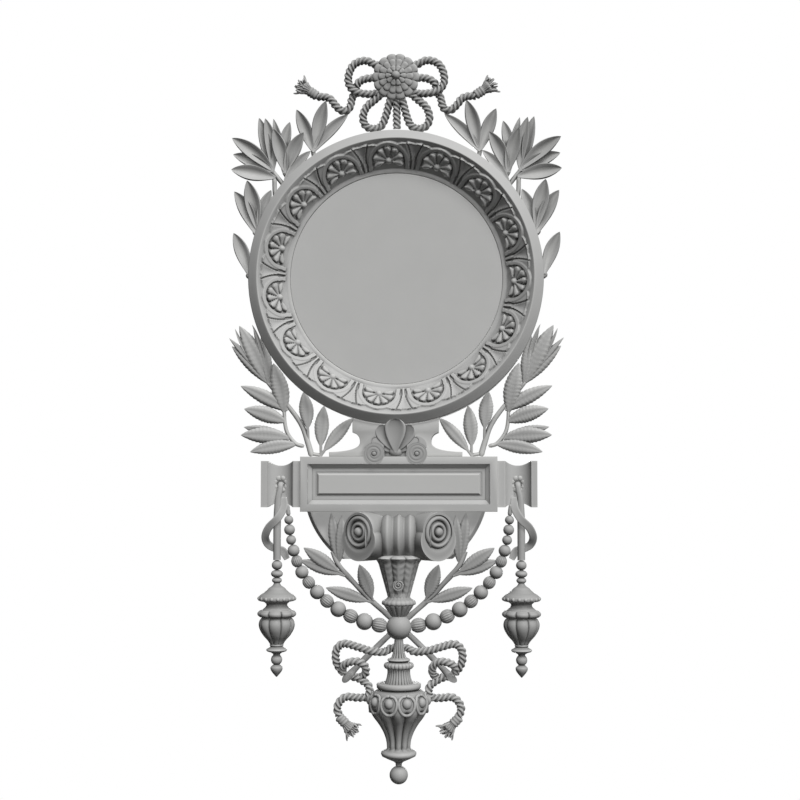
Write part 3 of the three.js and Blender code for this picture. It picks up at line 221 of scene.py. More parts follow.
class Path:
    """A smooth curve through points on the wall, read at a share of its length."""

    def __init__(self, points, fine=12):
        self.spots = soft(points, fine)
        self.marks = [0.0]
        for a, b in zip(self.spots, self.spots[1:]):
            self.marks.append(self.marks[-1] + (b - a).length)
        self.length = self.marks[-1]

    def place(self, share):
        """The point there, and the direction of the curve."""
        reach = min(max(share, 0.0), 1.0) * self.length
        last = len(self.spots) - 2
        i = min(max(bisect.bisect_right(self.marks, reach) - 1, 0), last)
        gap = self.marks[i + 1] - self.marks[i]
        part = (reach - self.marks[i]) / gap if gap else 0
        ahead = self.spots[min(i + 2, last + 1)] - self.spots[i]
        behind = self.spots[i + 1] - self.spots[max(i - 1, 0)]
        return self.spots[i].lerp(self.spots[i + 1], part), behind.lerp(ahead, part).normalized()


def sheet(bm, columns, rows, place):
    """A grid whose corners place(column, row) puts where they belong."""
    made = bmesh.ops.create_grid(bm, x_segments=columns, y_segments=rows, size=1)["verts"]
    for v in made:
        v.co = place(round((v.co.x + 1) / 2 * columns), round((v.co.y + 1) / 2 * rows))
    return made


def tube(bm, path, around, rows, section, shares=None):
    """A skin along a path. section(share, turn) gives a corner's distance to the side and outward."""
    rings = []
    for row in range(rows + 1):
        share = shares[row] if shares else row / rows
        spot, along = path.place(share)
        side = along.cross(OUT).normalized()
        rings.append((share, spot, side, side.cross(along)))

    def corner(column, row):
        share, spot, side, front = rings[row]
        across, outward = section(share, FULL * (column % around) / around)
        return at(*(spot + side * across + front * outward))

    return sheet(bm, around, rows, corner)


def stem(bm, points, first, last=None, around=10, step=3.0):
    """A round stem that tapers evenly, with small rounded ends."""
    path = Path(points)
    last = first if last is None else last
    rows = max(4, round(path.length / step))

    def round_bar(share, turn):
        radius = first + (last - first) * share
        end = min(share, 1 - share) * path.length
        radius *= math.sqrt(min(1, 0.35 + end / radius))
        return radius * math.cos(turn), radius * math.sin(turn)

    return tube(bm, path, around, rows, round_bar)


def rope(bm, points, radius=None):
    """A laid rope of three strands."""
    radius = radius or sizes().rope
    spacing = sizes().strand
    path = Path(points)
    third = FULL / 3

    def strands(share, turn):
        lay = turn - FULL * share * path.length / (3 * spacing)
        lay = (lay + third / 2) % third - third / 2
        reach = 0.5 * math.cos(lay) + math.sqrt(0.5**2 - (0.5 * math.sin(lay)) ** 2 + 0.004)
        return radius * reach * math.cos(turn), radius * reach * math.sin(turn)

    return tube(bm, path, 24, max(6, round(path.length / 1.3)), strands)


def laurel_swell(t):
    """A long leaf, broadest past its middle, with a pointed tip."""
    return math.sin(math.pi * t**1.12) ** 0.78


def olive_swell(t):
    """A leaf that is broadest near its middle and runs to a point."""
    return math.sin(math.pi * t**0.92) ** 0.82


def shell_swell(t):
    """A lobe that widens to a round end."""
    if t < 0.72:
        return math.sin(math.pi / 2 * t / 0.72) ** 1.05
    return math.sqrt(max(0, 1 - ((t - 0.72) / 0.28) ** 2))


def laurel_front(c, t, half):
    """Folded in to its rib, each half a little full, with the edge rolled over."""
    fold = sizes().valley * (abs(c) ** 1.25 - 1)
    roll = 0.34 * max(0, (abs(c) - 0.8) / 0.2) ** 2
    return half * (fold - roll)


def olive_front(c, t, half):
    """Two full halves that fall to a sunk rib, with slanting veins."""
    veins = 0.012 * math.sin(FULL * (sizes().teeth * t - 0.9 * abs(c))) * math.sin(math.pi * abs(c))
    full = 0.3 * math.sin(math.pi * min(1, abs(c) ** 0.7))
    groove = 0.3 * math.exp(-((c / 0.16) ** 2))
    return half * (full + veins - groove - 0.16)


def shell_front(c, t, half):
    """A hollow with a raised rim."""
    return half * (0.3 * abs(c) ** 1.8 - 0.3 - 0.12 * max(0, (abs(c) - 0.82) / 0.18) ** 2)


def leaf(bm, base, heading, length, width, rise=8, bend=0, stalk=0, front=laurel_front, swell_of=laurel_swell,
         toothed=False, arch=6, rows=24, lean=0):
    """A leaf on its stalk, carved along its rib and leaning to one side by so many degrees."""
    turn = math.radians(heading)
    along = Vector((math.cos(turn), math.sin(turn), 0))
    across = Vector((-math.sin(turn), math.cos(turn), 0))
    base = Vector(base)
    tip = base + along * length + OUT * rise
    middle = (base + tip) / 2 + across * 2 * bend + OUT * arch
    points = [base.lerp(middle, k / 8).lerp(middle.lerp(tip, k / 8), k / 8) for k in range(9)]
    path = Path(points, fine=4)
    bare = stalk / length
    edge = sizes().leaf_edge

    def blade(share, angle):
        t = min(1, max(0, (share - bare) / (1 - bare)))
        swell = swell_of(t) if t < 1 else 0
        stalk_half = 1.9 * (1 - t) * (1 - swell)
        half = width / 2 * swell + stalk_half
        if toothed and 0.08 < t < 0.97:
            half *= 0.95 + 0.11 * ((t * sizes().teeth) % 1)
        c = math.copysign(abs(math.cos(angle)) ** 0.8, math.cos(angle))
        thick = math.copysign(abs(math.sin(angle)) ** 0.5, math.sin(angle))
        tilt = c * half * math.tan(math.radians(lean)) * swell
        middle_out = front(c, t, width / 2 * swell) + tilt
        edge_out = edge * min(1, 0.3 + swell) + stalk_half
        belly = 0 if thick >= 0 else 1.2 * swell * (1 - c * c)
        return c * half, middle_out + thick * (edge_out + belly)

    return tube(bm, path, 22, rows, blade)


def join_in(bm, part):
    """Adds a finished part to a piece."""
    mesh = bpy.data.meshes.new("part")
    part.to_mesh(mesh)
    part.free()
    bm.from_mesh(mesh)
    bpy.data.meshes.remove(mesh)


def turned(bm, outline, steps, seat, carve=None, angle=FULL, copies=1):
    """An outline of (radius, height) points turned about an upright axis, carved and stood in its seat."""
    part = bmesh.new()
    corners = [part.verts.new((radius, 0, height)) for radius, height in outline]
    sides = [part.edges.new(pair) for pair in zip(corners, corners[1:])]
    bmesh.ops.spin(
        part,
        geom=corners + sides,
        cent=(0, 0, 0),
        axis=(0, 0, 1),
        dvec=(0, 0, 0),
        angle=angle,
        steps=steps,
        use_merge=copies == 1,
        use_duplicate=False,
    )
    if carve:
        for v in part.verts:
            at_angle = math.atan2(v.co.y, v.co.x)
            radius, height = carve(math.hypot(v.co.x, v.co.y), v.co.z, at_angle)
            v.co = Vector((radius * math.cos(at_angle), radius * math.sin(at_angle), height))
    first = part.verts[:] + part.edges[:] + part.faces[:]
    for k in range(1, copies):
        copy = bmesh.ops.duplicate(part, geom=first)["geom"]
        moved = [v for v in copy if isinstance(v, bmesh.types.BMVert)]
        bmesh.ops.rotate(part, verts=moved, cent=(0, 0, 0), matrix=Matrix.Rotation(FULL * k / copies, 3, "Z"))
    bmesh.ops.transform(part, matrix=seat, verts=part.verts[:])
    join_in(bm, part)


def gadroons(count, depth, from_radius, power=0.6):
    """Carving for a turned part: so many rounded ribs, with grooves of that share of the radius."""

    def carve(radius, height, angle):
        if radius < from_radius:
            return radius, height
        rib = abs(math.cos(count / 2 * angle)) ** power
        return radius * (1 - depth + depth * rib), height

    return carve


def hanging(x, y, out):
    """A seat with its axis upright, for what hangs on the wall."""
    return Matrix.Translation(at(x, y, out)) @ Matrix.Scale(MM, 4)


def facing(x, y, out, side_turn=0):
    """A seat with its axis out from the wall, turned a little to one side."""
    turn = Matrix.Rotation(math.radians(side_turn), 4, "Z") @ Matrix.Rotation(math.pi / 2, 4, "X")
    return Matrix.Translation(at(x, y, out)) @ turn @ Matrix.Scale(MM, 4)


def level(x, y, out):
    """A seat with its axis level along the wall."""
    return Matrix.Translation(at(x, y, out)) @ Matrix.Rotation(math.pi / 2, 4, "Y") @ Matrix.Scale(MM, 4)


def ball(bm, x, y, out, radius, around=24, rows=14, squash=(1, 1, 1)):
    """A carved bead."""
    seat = hanging(x, y, out) @ Matrix.Diagonal((*squash, 1))
    part = bmesh.new()
    bmesh.ops.create_uvsphere(part, u_segments=around, v_segments=rows, radius=radius, matrix=seat)
    join_in(bm, part)


def board(bm, outline, back, front, edge=0.8):
    """A flat board from its outline on the wall, with a small rounding at its front edge."""
    face = bm.faces.new([bm.verts.new(at(x, y, back)) for x, y in outline])
    raised = bmesh.ops.extrude_face_region(bm, geom=[face])["geom"]
    lifted = [v for v in raised if isinstance(v, bmesh.types.BMVert)]
    top = [f for f in raised if isinstance(f, bmesh.types.BMFace)][0]
    bmesh.ops.translate(bm, verts=lifted, vec=(0, -(front - back) * MM, 0))
    bm.normal_update()
    bmesh.ops.bevel(
        bm,
        geom=list(top.edges),
        offset=edge * MM,
        offset_type="OFFSET",
        segments=2,
        profile=0.5,
        affect="EDGES",
        material=-1,
    )
    ahead = [f for f in bm.faces if all(abs(v.co.y + front * MM) < 1e-6 for v in f.verts)]
    return max(ahead, key=lambda f: f.calc_area())


def trim(bm, point, away):
    """Cuts off what stands beyond a plane through a point of the scene."""
    return bmesh.ops.bisect_plane(
        bm,
        geom=bm.verts[:] + bm.edges[:] + bm.faces[:],
        dist=1e-7,
        plane_co=point,
        plane_no=away,
        clear_outer=True,
    )["geom_cut"]


def close_holes(bm):
    """Caps what is still open."""
    rims = [e for e in bm.edges if e.is_boundary]
    if rims:
        bmesh.ops.holes_fill(bm, edges=rims, sides=0)


def finish_piece(name, bm, nodes, coat, crease=48, mirror_at=None):
    """Welds a piece, makes it an object of the scene and lets it stand for its solids."""
    if not bm.verts:
        raise RuntimeError(f"{name} has no mesh")
    if mirror_at is not None:
        bmesh.ops.scale(bm, vec=(-1, 1, 1), verts=bm.verts[:])
        bmesh.ops.translate(bm, vec=(2 * mirror_at * MM, 0, 0), verts=bm.verts[:])
    bmesh.ops.remove_doubles(bm, verts=bm.verts[:], dist=3e-6)
    close_holes(bm)
    bmesh.ops.recalc_face_normals(bm, faces=bm.faces[:])
    limit = math.radians(crease)
    for face in bm.faces:
        face.smooth = True
    for edge in bm.edges:
        if len(edge.link_faces) == 2 and edge.calc_face_angle(0) > limit:
            edge.smooth = False
    mesh = bpy.data.meshes.new(name)
    bm.to_mesh(mesh)
    bm.free()
    piece = bpy.data.objects.new(name, mesh)
    bpy.context.scene.collection.objects.link(piece)
    mesh.materials.append(coat)
    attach(piece, "root")
    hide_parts(*nodes)
    return piece


def make_piece(name, carve, node, coat, crease=48):
    """Carves one piece and lets it stand for its solid."""
    bm = bmesh.new()
    carve(bm)
    finish_piece(name, bm, [node], coat, crease)


def in_pairs(name, carve, coat, line):
    """The left piece, and the right one as its mirror image about a middle line."""
    for side, mirror_at in (("left", None), ("right", line)):
        bm = bmesh.new()
        carve(bm)
        finish_piece(f"carved_{name}_{side}", bm, [f"{name}_{side}"], coat, mirror_at=mirror_at)


# Paint


def linear(code):
    """A linear colour from an sRGB hex code."""
    parts = [int(code[i : i + 2], 16) / 255 for i in (0, 2, 4)]
    return (*(p / 12.92 if p <= 0.04045 else ((p + 0.055) / 1.055) ** 2.4 for p in parts), 1)


def add_node(tree, kind, inputs=None, links=None, **settings):
    """Adds a node with its settings, its socket values and the sockets that feed it."""
    made = tree.nodes.new(kind)
    for name, value in settings.items():
        setattr(made, name, value)
    for name, value in (inputs or {}).items():
        made.inputs[name].default_value = value
    for name, source in (links or {}).items():
        tree.links.new(source, made.inputs[name])
    return made


def painted(name, coat, grain_mm, wear_and_shade=1.0, rubbed=None):
    """Matt paint over gesso: soft patches, a fine tooth, rubbed edges and painted shade in the hollows."""
    material = bpy.data.materials.get(name)
    if material:
        return material
    material = bpy.data.materials.new(name)
    material.use_nodes = True
    tree = material.node_tree
    shader = tree.nodes["Principled BSDF"]
    shader.inputs["IOR"].default_value = 1.46
    shader.inputs["Specular IOR Level"].default_value = 0.35
    place = add_node(tree, "ShaderNodeTexCoord").outputs["Object"]
    patches = add_node(
        tree, "ShaderNodeTexNoise", {"Scale": 1 / (38 * MM), "Detail": 4, "Roughness": 0.55},
        {"Vector": place},
    )
    tooth = add_node(
        tree, "ShaderNodeTexNoise", {"Scale": 1 / (grain_mm * MM), "Detail": 3, "Roughness": 0.6},
        {"Vector": place},
    )
    bend = add_node(tree, "ShaderNodeNewGeometry").outputs["Pointiness"]
    # Painted shade: an occlusion test within 9 mm darkens the paint toward the hollow colour in recesses and
    # creases of the piece.
    shut_in = add_node(tree, "ShaderNodeAmbientOcclusion", {"Distance": 9 * MM}, samples=6, only_local=True)
    rub = add_node(
        tree,
        "ShaderNodeMapRange",
        {"From Min": 0.5, "From Max": 0.56, "To Min": 0, "To Max": 0.7 * wear_and_shade},
        {"Value": bend},
    )
    painted_shade = add_node(
        tree,
        "ShaderNodeMapRange",
        {"From Min": 0.94, "From Max": 0.45, "To Min": 0, "To Max": 0.95 * wear_and_shade},
        {"Value": shut_in.outputs["AO"]},
    )
    shade = add_node(
        tree,
        "ShaderNodeMix",
        {"A": linear(coat), "B": tuple(0.9 * c for c in linear(coat)[:3]) + (1,)},
        {"Factor": patches.outputs[0]},
        data_type="RGBA",
    )
    lit = add_node(
        tree,
        "ShaderNodeMix",
        {"B": linear(rubbed or paint().worn)},
        {"Factor": rub.outputs["Result"], "A": shade.outputs["Result"]},
        data_type="RGBA",
    )
    # Lays the painted shade over the paint in the hollows.
    painted_shade_mix = add_node(
        tree,
        "ShaderNodeMix",
        {"B": linear(paint().hollow)},
        {"Factor": painted_shade.outputs["Result"], "A": lit.outputs["Result"]},
        data_type="RGBA",
    )
    rough = add_node(
        tree,
        "ShaderNodeMapRange",
        {"From Min": 0.3, "From Max": 0.7, "To Min": 0.58, "To Max": 0.74},
        {"Value": tooth.outputs[0]},
    )
    grain = add_node(
        tree,
        "ShaderNodeBump",
        {"Strength": 0.22, "Distance": 0.12 * MM},
        {"Height": tooth.outputs[0]},
    )
    tree.links.new(painted_shade_mix.outputs["Result"], shader.inputs["Base Color"])
    tree.links.new(rough.outputs["Result"], shader.inputs["Roughness"])
    tree.links.new(grain.outputs["Normal"], shader.inputs["Normal"])
    return material


def carved_paint():
    """Stone-grey paint on carved limewood: matt, a little uneven, lighter where it is rubbed."""
    return painted("stone_grey_paint_on_carved_limewood", paint().coat, 2.4)


def turned_paint():
    """The paint on turned limewood, where it lies smoother, set darker as painted shade."""
    return painted("shaded_stone_grey_paint_on_turned_limewood", paint().shaded_coat, 3.2, 1.05, paint().coat)


def board_paint():
    """The same paint on planed boards: almost even, with a brushed tooth."""
    return painted("stone_grey_paint_on_planed_limewood", paint().coat, 4.0, 0.6)


def shaded_paint():
    """The paint on applied carving, set darker as painted shade, with more painted shade in the hollows."""
    return painted("shaded_stone_grey_paint_on_undercut_limewood", paint().shaded_coat, 2.4, 1.05, paint().coat)


def plate_paint():
    """Smooth matt paint on the blank plate."""
    return painted("smooth_stone_grey_paint_on_plate", paint().plate, 5.0, 0.4)


# Ring


def bump(distance, half):
    """A half-round ridge across its width."""
    share = abs(distance) / half
    return math.sqrt(1 - share * share) if share < 1 else 0


def ledge(low, high, soft_edge, place):
    """1 between two places and 0 outside, with soft edges."""
    return min(1, max(0, (place - low) / soft_edge), max(0, (high - place) / soft_edge))


def palmette_relief(u, v):
    """Height of a palmette and its arch, where u is along the ring from its middle and v up the slope."""
    heart = 13.6
    reach = math.hypot(u, v - heart)
    angle = math.degrees(math.atan2(u, v - heart))
    height = 5.8 * bump(reach, 5.4)
    for lobe in (-70, -35, 0, 35, 70):
        turn = math.radians(angle - lobe)
        along = reach * math.cos(turn)
        across = reach * math.sin(turn)
        if 4.5 < along < 22.2:
            half = along * 0.31 if along < 17.5 else 5.4 * math.sqrt(max(0, 1 - ((along - 17.5) / 4.7) ** 2))
            if half > 0.2:
                grow = 0.35 + 0.65 * min(1, along / 17)
                height = max(height, sizes().relief * grow * bump(across, half) ** 0.8)
    for side in (-1, 1):
        turn = math.radians(angle - side * (99 + 0.25 * reach))
        along = reach * math.cos(turn)
        across = reach * math.sin(turn)
        if 5 < along < 21.4:
            half = 4.7 * math.sin(math.pi * ((along - 5) / 16.4) ** 1.6) ** 0.75
            if half > 0.2:
                height = max(height, 0.9 * sizes().relief * bump(across, half))
    from_heart = reach if v >= heart else abs(u)
    arch = sizes().arch * ledge(22.8, 29.6, 0.7, from_heart)
    if from_heart >= 29 and v > heart:
        pitch = (BAND_INNER + v * 0.76) * math.pi / MOTIFS
        room = pitch - abs(u) - dart_half(v) - 1.3
        top = 41.6 - 0.03 * (abs(u) - 24) ** 2
        if room > 0 and v < top and abs(u) > 11:
            curl = 1.4 * max(0, 1 - (top - v) / 3.4) ** 1.5
            arch = max(arch, (0.7 * sizes().arch + curl) * min(1, room / 0.7, (top - v) / 0.7))
    return max(height, arch)


def dart_half(v):
    """Half the width of the tulip at a height up the slope."""
    return 2.2 + 7.4 * max(0, (v - 11) / 28) ** 1.7


def dart_relief(u, v):
    """Height of the tulip between two arches, where u is along the ring from its middle."""
    half = dart_half(v)
    share = abs(u) / half
    top = 42.8 - 1.6 * (1 - share) ** 2
    if share >= 1 or v > top:
        return 0.0
    open_up = min(1, max(0, (v - 12) / 16))
    curl = 1.6 * open_up * max(0, 1 - (top - v) / 3.4) ** 1.5
    height = 3.0 - 1.7 * open_up * (1 - share**2) + curl
    return height * min(1, (1 - share) * half / 0.7, (top - v) / 0.7)


def carve_ring(bm):
    """The round moulding, with its ornament carved into the inner slope."""
    run = math.hypot(BAND_OUTER - BAND_INNER, BAND_HIGH - BAND_LOW)
    uphill = ((BAND_OUTER - BAND_INNER) / run, (BAND_HIGH - BAND_LOW) / run)
    rabbet = SIGHT_RADIUS + 14.9
    outline = [
        (rabbet, 0),
        (RING_RADIUS - 16, 0),
        (RING_RADIUS - 16, 8),
        (RING_RADIUS - 0.6, 8),
        (RING_RADIUS, 8.6),
        *soft(
            [
                (RING_RADIUS, EDGE_DEPTH - 3.2),
                (RING_RADIUS - 0.5, EDGE_DEPTH - 0.9),
                (RING_RADIUS - 2.2, EDGE_DEPTH + 0.6),
            ],
            3,
        ),
        (RING_RADIUS - 7, EDGE_DEPTH + 4.2),
        *soft(
            [
                (CREST_RADIUS + 2.4, CREST_DEPTH - 1.3),
                (CREST_RADIUS + 0.4, CREST_DEPTH - 0.3),
                (BAND_OUTER, BAND_HIGH),
            ],
            3,
        ),
    ]
    outline += [
        (BAND_OUTER - uphill[0] * run * k / BAND_ROWS, BAND_HIGH - uphill[1] * run * k / BAND_ROWS)
        for k in range(1, BAND_ROWS + 1)
    ]
    outline += [
        (BAND_INNER - 1.6, BAND_LOW - 0.5),
        (SIGHT_RADIUS + 0.8, BAND_LOW - 0.5),
        (SIGHT_RADIUS, BAND_LOW - 1.3),
        (SIGHT_RADIUS, 8.3),
        (rabbet, 8.3),
        (rabbet, 0),
    ]
    sector = FULL / MOTIFS

    def relief(radius, height, angle):
        along = (radius - BAND_INNER) * uphill[0] + (height - BAND_LOW) * uphill[1]
        off = (radius - BAND_INNER) * uphill[1] - (height - BAND_LOW) * uphill[0]
        if abs(off) > 0.01 or not 0.3 < along < run - 0.3:
            return radius, height
        fade = min(1, along / 1.2, (run - along) / 1.2)
        middle = sector / 2
        from_dart = angle if angle < middle else angle - sector
        palmette = palmette_relief((angle - middle) * radius, along)
        lift = fade * max(palmette, dart_relief(from_dart * radius, along))
        return radius - uphill[1] * lift, height + uphill[0] * lift

    seat = facing(0, 0, 0) @ Matrix.Rotation(FIRST_MOTIF - sector / 2, 4, "Z")
    turned(bm, outline, MOTIF_STEPS, seat, relief, sector, MOTIFS)


def carve_plate(bm):
    """The blank plate, slightly eased at its edge."""
    flange = PLATE.high
    face = SIGHT_RADIUS - 0.4
    outline = [(0, 0), (flange, 0), (flange, 7.7), (face, 7.7), (face, 14), (face - 0.5, 14.5), (0, 14.5)]
    turned(bm, outline, 160, facing(0, 0, 0))


# Boards


def quadratic(a, b, c, steps=14):
    """Points along a curve from a to c, bent toward b."""
    a, b, c = Vector(a), Vector(b), Vector(c)
    return [tuple(a.lerp(b, k / steps).lerp(b.lerp(c, k / steps), k / steps)) for k in range(steps + 1)]


def carve_backboard(bm):
    """The neck board, the rail behind the tablet and the dished apron."""
    foot = TABLET.high + 0.3
    neck = -RING_RADIUS - TABLET.high
    shelf = TABLET.high + 6.5
    right = [
        (92.5, foot),
        *quadratic((92.5, shelf), (49.5, shelf + 1), (49.5, TABLET.high + neck * 0.45)),
        *quadratic(
            (49.5, TABLET.high + neck * 0.46),
            (49.5, TABLET.high + neck * 0.68),
            (60, TABLET.high + neck * 0.75),
        ),
    ]
    bow = [(x, -math.sqrt((RING_RADIUS + 0.3) ** 2 - x * x)) for x in (60, 45, 30, 15, 0, -15, -30, -45, -60)]
    outline = right + bow + [(-x, y) for x, y in reversed(right)]
    clean = [outline[0]]
    for point in outline[1:]:
        if math.dist(point, clean[-1]) > 0.3:
            clean.append(point)
    board(bm, clean, 0, NECK_DEPTH, 1.1)
    rail = [(BLOCK.left + 6, BLOCK.low + 6), (2 * MIDDLE - BLOCK.left - 6, BLOCK.low + 6)]
    rail += [(x, BLOCK.high - 6) for x, y in reversed(rail)]
    board(bm, rail, 0, 10)
    board(bm, [(-49, TABLET.low - 8), (49, TABLET.low - 8), (49, foot), (-49, foot)], 0.3, 9.6)
    apron = bmesh.new()
    rim = APRON_RADIUS - 5
    outline = [
        (0, 0),
        (APRON_RADIUS, 0),
        (APRON_RADIUS, 14.6),
        (APRON_RADIUS - 0.5, 15.4),
        (rim + 0.3, 19.7),
        *soft([(rim - 0.6, 19.8), (rim * 0.9, 17.4), (rim * 0.72, 15), (rim * 0.4, 12.2), (0, 11)], 5),
    ]
    turned(apron, outline, 160, facing(0, TABLET.low + APRON_RISE, 0))
    for y, up in ((TABLET.low - 0.3, 1), (TABLET.low - APRON_DROP, -1)):
        cut = trim(apron, at(0, y, 0), (0, 0, up))
        rims = [e for e in cut if isinstance(e, bmesh.types.BMEdge)]
        bmesh.ops.edgenet_fill(apron, edges=rims)
    join_in(bm, apron)


def carve_tablet(bm):
    """The tablet, with a stepped panel sunk into its face."""
    corners = [
        (TABLET.left, TABLET.low),
        (TABLET.right, TABLET.low),
        (TABLET.right, TABLET.high),
        (TABLET.left, TABLET.high),
    ]
    face = board(bm, corners, TABLET.back, TABLET.front, 0.9)
    mouldings = [
        (9.2, 0),
        (0.25, -3.4),
        (5.6, -3.6),
        (0.25, -1.4),
        (4.6, 0),
        (0.25, -0.8),
        (1.2, 0),
        (2.4, 2.6),
        (0.9, 0.5),
    ]
    for width, sink in mouldings:
        bmesh.ops.inset_individual(
            bm, faces=[face], thickness=width * MM, depth=sink * MM, use_even_offset=True
        )


def carve_end_block(bm):
    """The scooped block at the tablet's left end, with its flower and hole."""
    half = 18
    sink = 13
    radius = (half * half + sink * sink) / (2 * sink)
    floor = BLOCK.front - sink

    def scoop(x):
        off = abs(x - SCOOP_X)
        return BLOCK.front if off >= half else floor + radius - math.sqrt(radius * radius - off * off)

    def dip(x):
        off = abs(x - SCOOP_X) / half
        return 0 if off >= 1 else 6.4 * (1 - off * off)

    def face(column, row):
        x = BLOCK.left + (BLOCK.right - BLOCK.left) * column / 60
        low, high = BLOCK.low + dip(x), BLOCK.high - dip(x)
        return at(x, low + (high - low) * row / 30, scoop(x))

    sheet(bm, 60, 30, face)
    hub = Vector((SCOOP_X * MM, TABLET_MIDDLE * MM))
    middles = [(f, (Vector(f.calc_center_median().xz) - hub).length / MM) for f in bm.faces]
    bmesh.ops.delete(bm, geom=[f for f, away in middles if away < 7.5], context="FACES")
    rims = [e for e in bm.edges if e.is_boundary]
    outer = [e for e in rims if (Vector(e.verts[0].co.xz) - hub).length / MM > 14]
    inner = [e for e in rims if e not in set(outer)]
    for edges, depth in ((outer, BLOCK.back), (inner, BLOCK.back + 4)):
        pulled = bmesh.ops.extrude_edge_only(bm, edges=edges)["geom"]
        for v in pulled:
            if isinstance(v, bmesh.types.BMVert):
                v.co.y = -depth * MM
    petals = [
        (5.5, -8), (5.5, 0.6), (6.3, 1.5), (9.5, 1.9), (12, 1.0), (12.4, 0.2), (12.4, -3), (7, -8),
        (5.5, -8),
    ]

    def petal(r, h, angle):
        wave = abs(math.sin(4 * angle))
        if r > 6:
            r *= 0.88 + 0.12 * wave**0.5
            h = h - 1.2 * (1 - wave**0.5) if h > -2 else h
        return r, h

    turned(bm, petals, 96, facing(SCOOP_X, TABLET_MIDDLE, floor), petal)


# Shell and volutes


def spiral_face(bm, seat, radius, turns, ridge, dome, flare=lambda angle: 0, depth=6, columns=96, hand=1):
    """A volute: a spiral ridge round a domed eye, on a drum that runs back from its face."""
    rows = 34
    back = 6
    eye = 0.24
    rim = 0.86

    def corner(column, row):
        angle = FULL * (column % columns) / columns
        wide = radius + flare(angle)
        if row > rows:
            fall = depth * (row - rows) / back
            return seat @ Vector((wide * math.cos(angle), wide * math.sin(angle), -fall))
        share = row / rows
        reach = share * radius
        if share >= rim:
            reach = radius * rim + (wide - radius * rim) * (share - rim) / (1 - rim)
        if share < eye:
            height = dome * math.sqrt(max(0, 1 - (share / eye) ** 2)) - 1.5
        else:
            lap = (share - eye) / (rim - eye) * turns + hand * angle / FULL
            height = ridge * (math.sin(math.pi * (lap % 1)) ** 0.7 - 1) if share < rim else -0.35 * ridge
        return seat @ Vector((reach * math.cos(angle), reach * math.sin(angle), height))

    sheet(bm, columns, rows + back, corner)


def carve_shell(bm):
    """The hollow-lobed shell on the neck board, with a volute at each side."""
    seat = NECK_DEPTH + 0.3
    base = TABLET.high + 6
    for heading, length, width, out in (
        (90 + 60, 37, 17, 4.5),
        (90 - 60, 37, 17, 4.5),
        (90 + 31, 43, 23, 6.6),
        (90 - 31, 43, 23, 6.6),
        (90, 46, 29, 10),
    ):
        leaf(
            bm, (0, base, seat + out), heading, length, width, rise=6, front=shell_front,
            swell_of=shell_swell, arch=3, rows=30,
        )
    ball(bm, 0, base + 1, seat + 5, 9.5, squash=(1, 0.7, 0.85))
    for side in (-1, 1):
        spiral_face(
            bm, facing(side * 29.5, TABLET.high + 4, TABLET.front + 1.6), 14.4, 1.9, 0.5, 1.8, depth=2,
            hand=side,
        )
        turned(
            bm, [(0, seat), (13.6, seat), (13.6, TABLET.front + 0.5), (0, TABLET.front + 0.5)], 64,
            facing(side * 29.5, TABLET.high + 14.5, 0),
        )
    bed = [(-30, TABLET.high + 0.6), (30, TABLET.high + 0.6), (30, base + 10), (-30, base + 10)]
    board(bm, bed, seat, seat + 5, 1)


# Capital, torch and centre pendant


def carve_capital(bm):
    """The ribbed bolster and the two volutes turned outward."""
    half = [
        (31.5, 0), (29.4, 4), (27.4, 7.8), (29.4, 11.6), (31.5, 15.6), (29.6, 20), (25.4, 27), (26.6, 33),
        (30, 40), (32, 45),
    ]
    line = soft([(r, -x) for r, x in reversed(half[1:])] + half, 5)
    outline = [(0, -45), *line, (0, 45)]
    turned(bm, outline, 96, level(MIDDLE, TABLET.low - 35, 33))
    for side in (-1, 1):
        seat = facing(MIDDLE + side * 56, TABLET.low - 27.6, 54.8, side * 38)
        spiral_face(
            bm, seat, 26.8, 2, 4.4, 5.5, lambda angle: 13 * max(0, -math.sin(angle)) ** 0.8, depth=34,
            columns=128, hand=0,
        )
    trim(bm, at(0, 0, 12), (0, 1, 0))
    trim(bm, at(0, TABLET.low - 0.3, 0), (0, 0, 1))


CUP_FOOT = BEAD_Y + BEAD_RADIUS + 25.7


def carve_torch(bm):
    """The leafy cup, its collar and the fluted cone."""
    cup = soft([(15.4, 0), (15.8, 6), (19.5, 20), (24, 36), (26.8, 46), (29, 52)], 8)
    outline = [(0, 56), (18, 56), (26.6, 54), *reversed(cup), (15.6, -0.5)]
    outline += [(0, -0.5)]

    def acanthus(radius, height, angle):
        if radius < 10:
            return radius, height
        wave = abs(math.cos(4 * angle))
        rib = math.exp(-(((wave - 1) / 0.06) ** 2))
        fray = 0.5 + 0.5 * math.sin(height * 0.75 + 3 * wave)
        carved = 3.2 * wave**0.8 + 0.9 * rib - 2.4 + 0.7 * fray * (1 - rib)
        lift = 4.2 * max(0, (height - 42) / 12) ** 2 * wave**0.6
        return radius + carved * min(1, height / 8 + 0.2) + lift, height

    turned(bm, outline, 128, hanging(MIDDLE, CUP_FOOT, AXIS_OUT), acanthus)
    collar = [
        (0, -0.2), (15.2, -0.2), (15.8, -2), (18, -4.2), (22.4, -6.4), (23.5, -8.4), (23.6, -10.6),
        (22.8, -11.8), (19.8, -12.5), (0, -12.5),
    ]

    turned(bm, collar, 120, hanging(MIDDLE, CUP_FOOT, AXIS_OUT), gadroons(20, 0.035, 14, 0.5))
    cone = [(0, -11.6), (19.6, -11.6), (20.4, -13.2), (19.4, -15), (11.2, -27), (10, -28), (0, -28)]

    turned(bm, cone, 120, hanging(MIDDLE, CUP_FOOT, AXIS_OUT), gadroons(12, 0.1, 8))
    spiral_face(bm, facing(MIDDLE, CUP_FOOT + 16, AXIS_OUT + 21.5), 7.4, 1.6, 1.2, 1.6, depth=4, columns=64)


def carve_big_bead(bm):
    """The plain bead where the garlands meet."""
    ball(bm, MIDDLE, BEAD_Y, AXIS_OUT, BEAD_RADIUS, 48, 32)


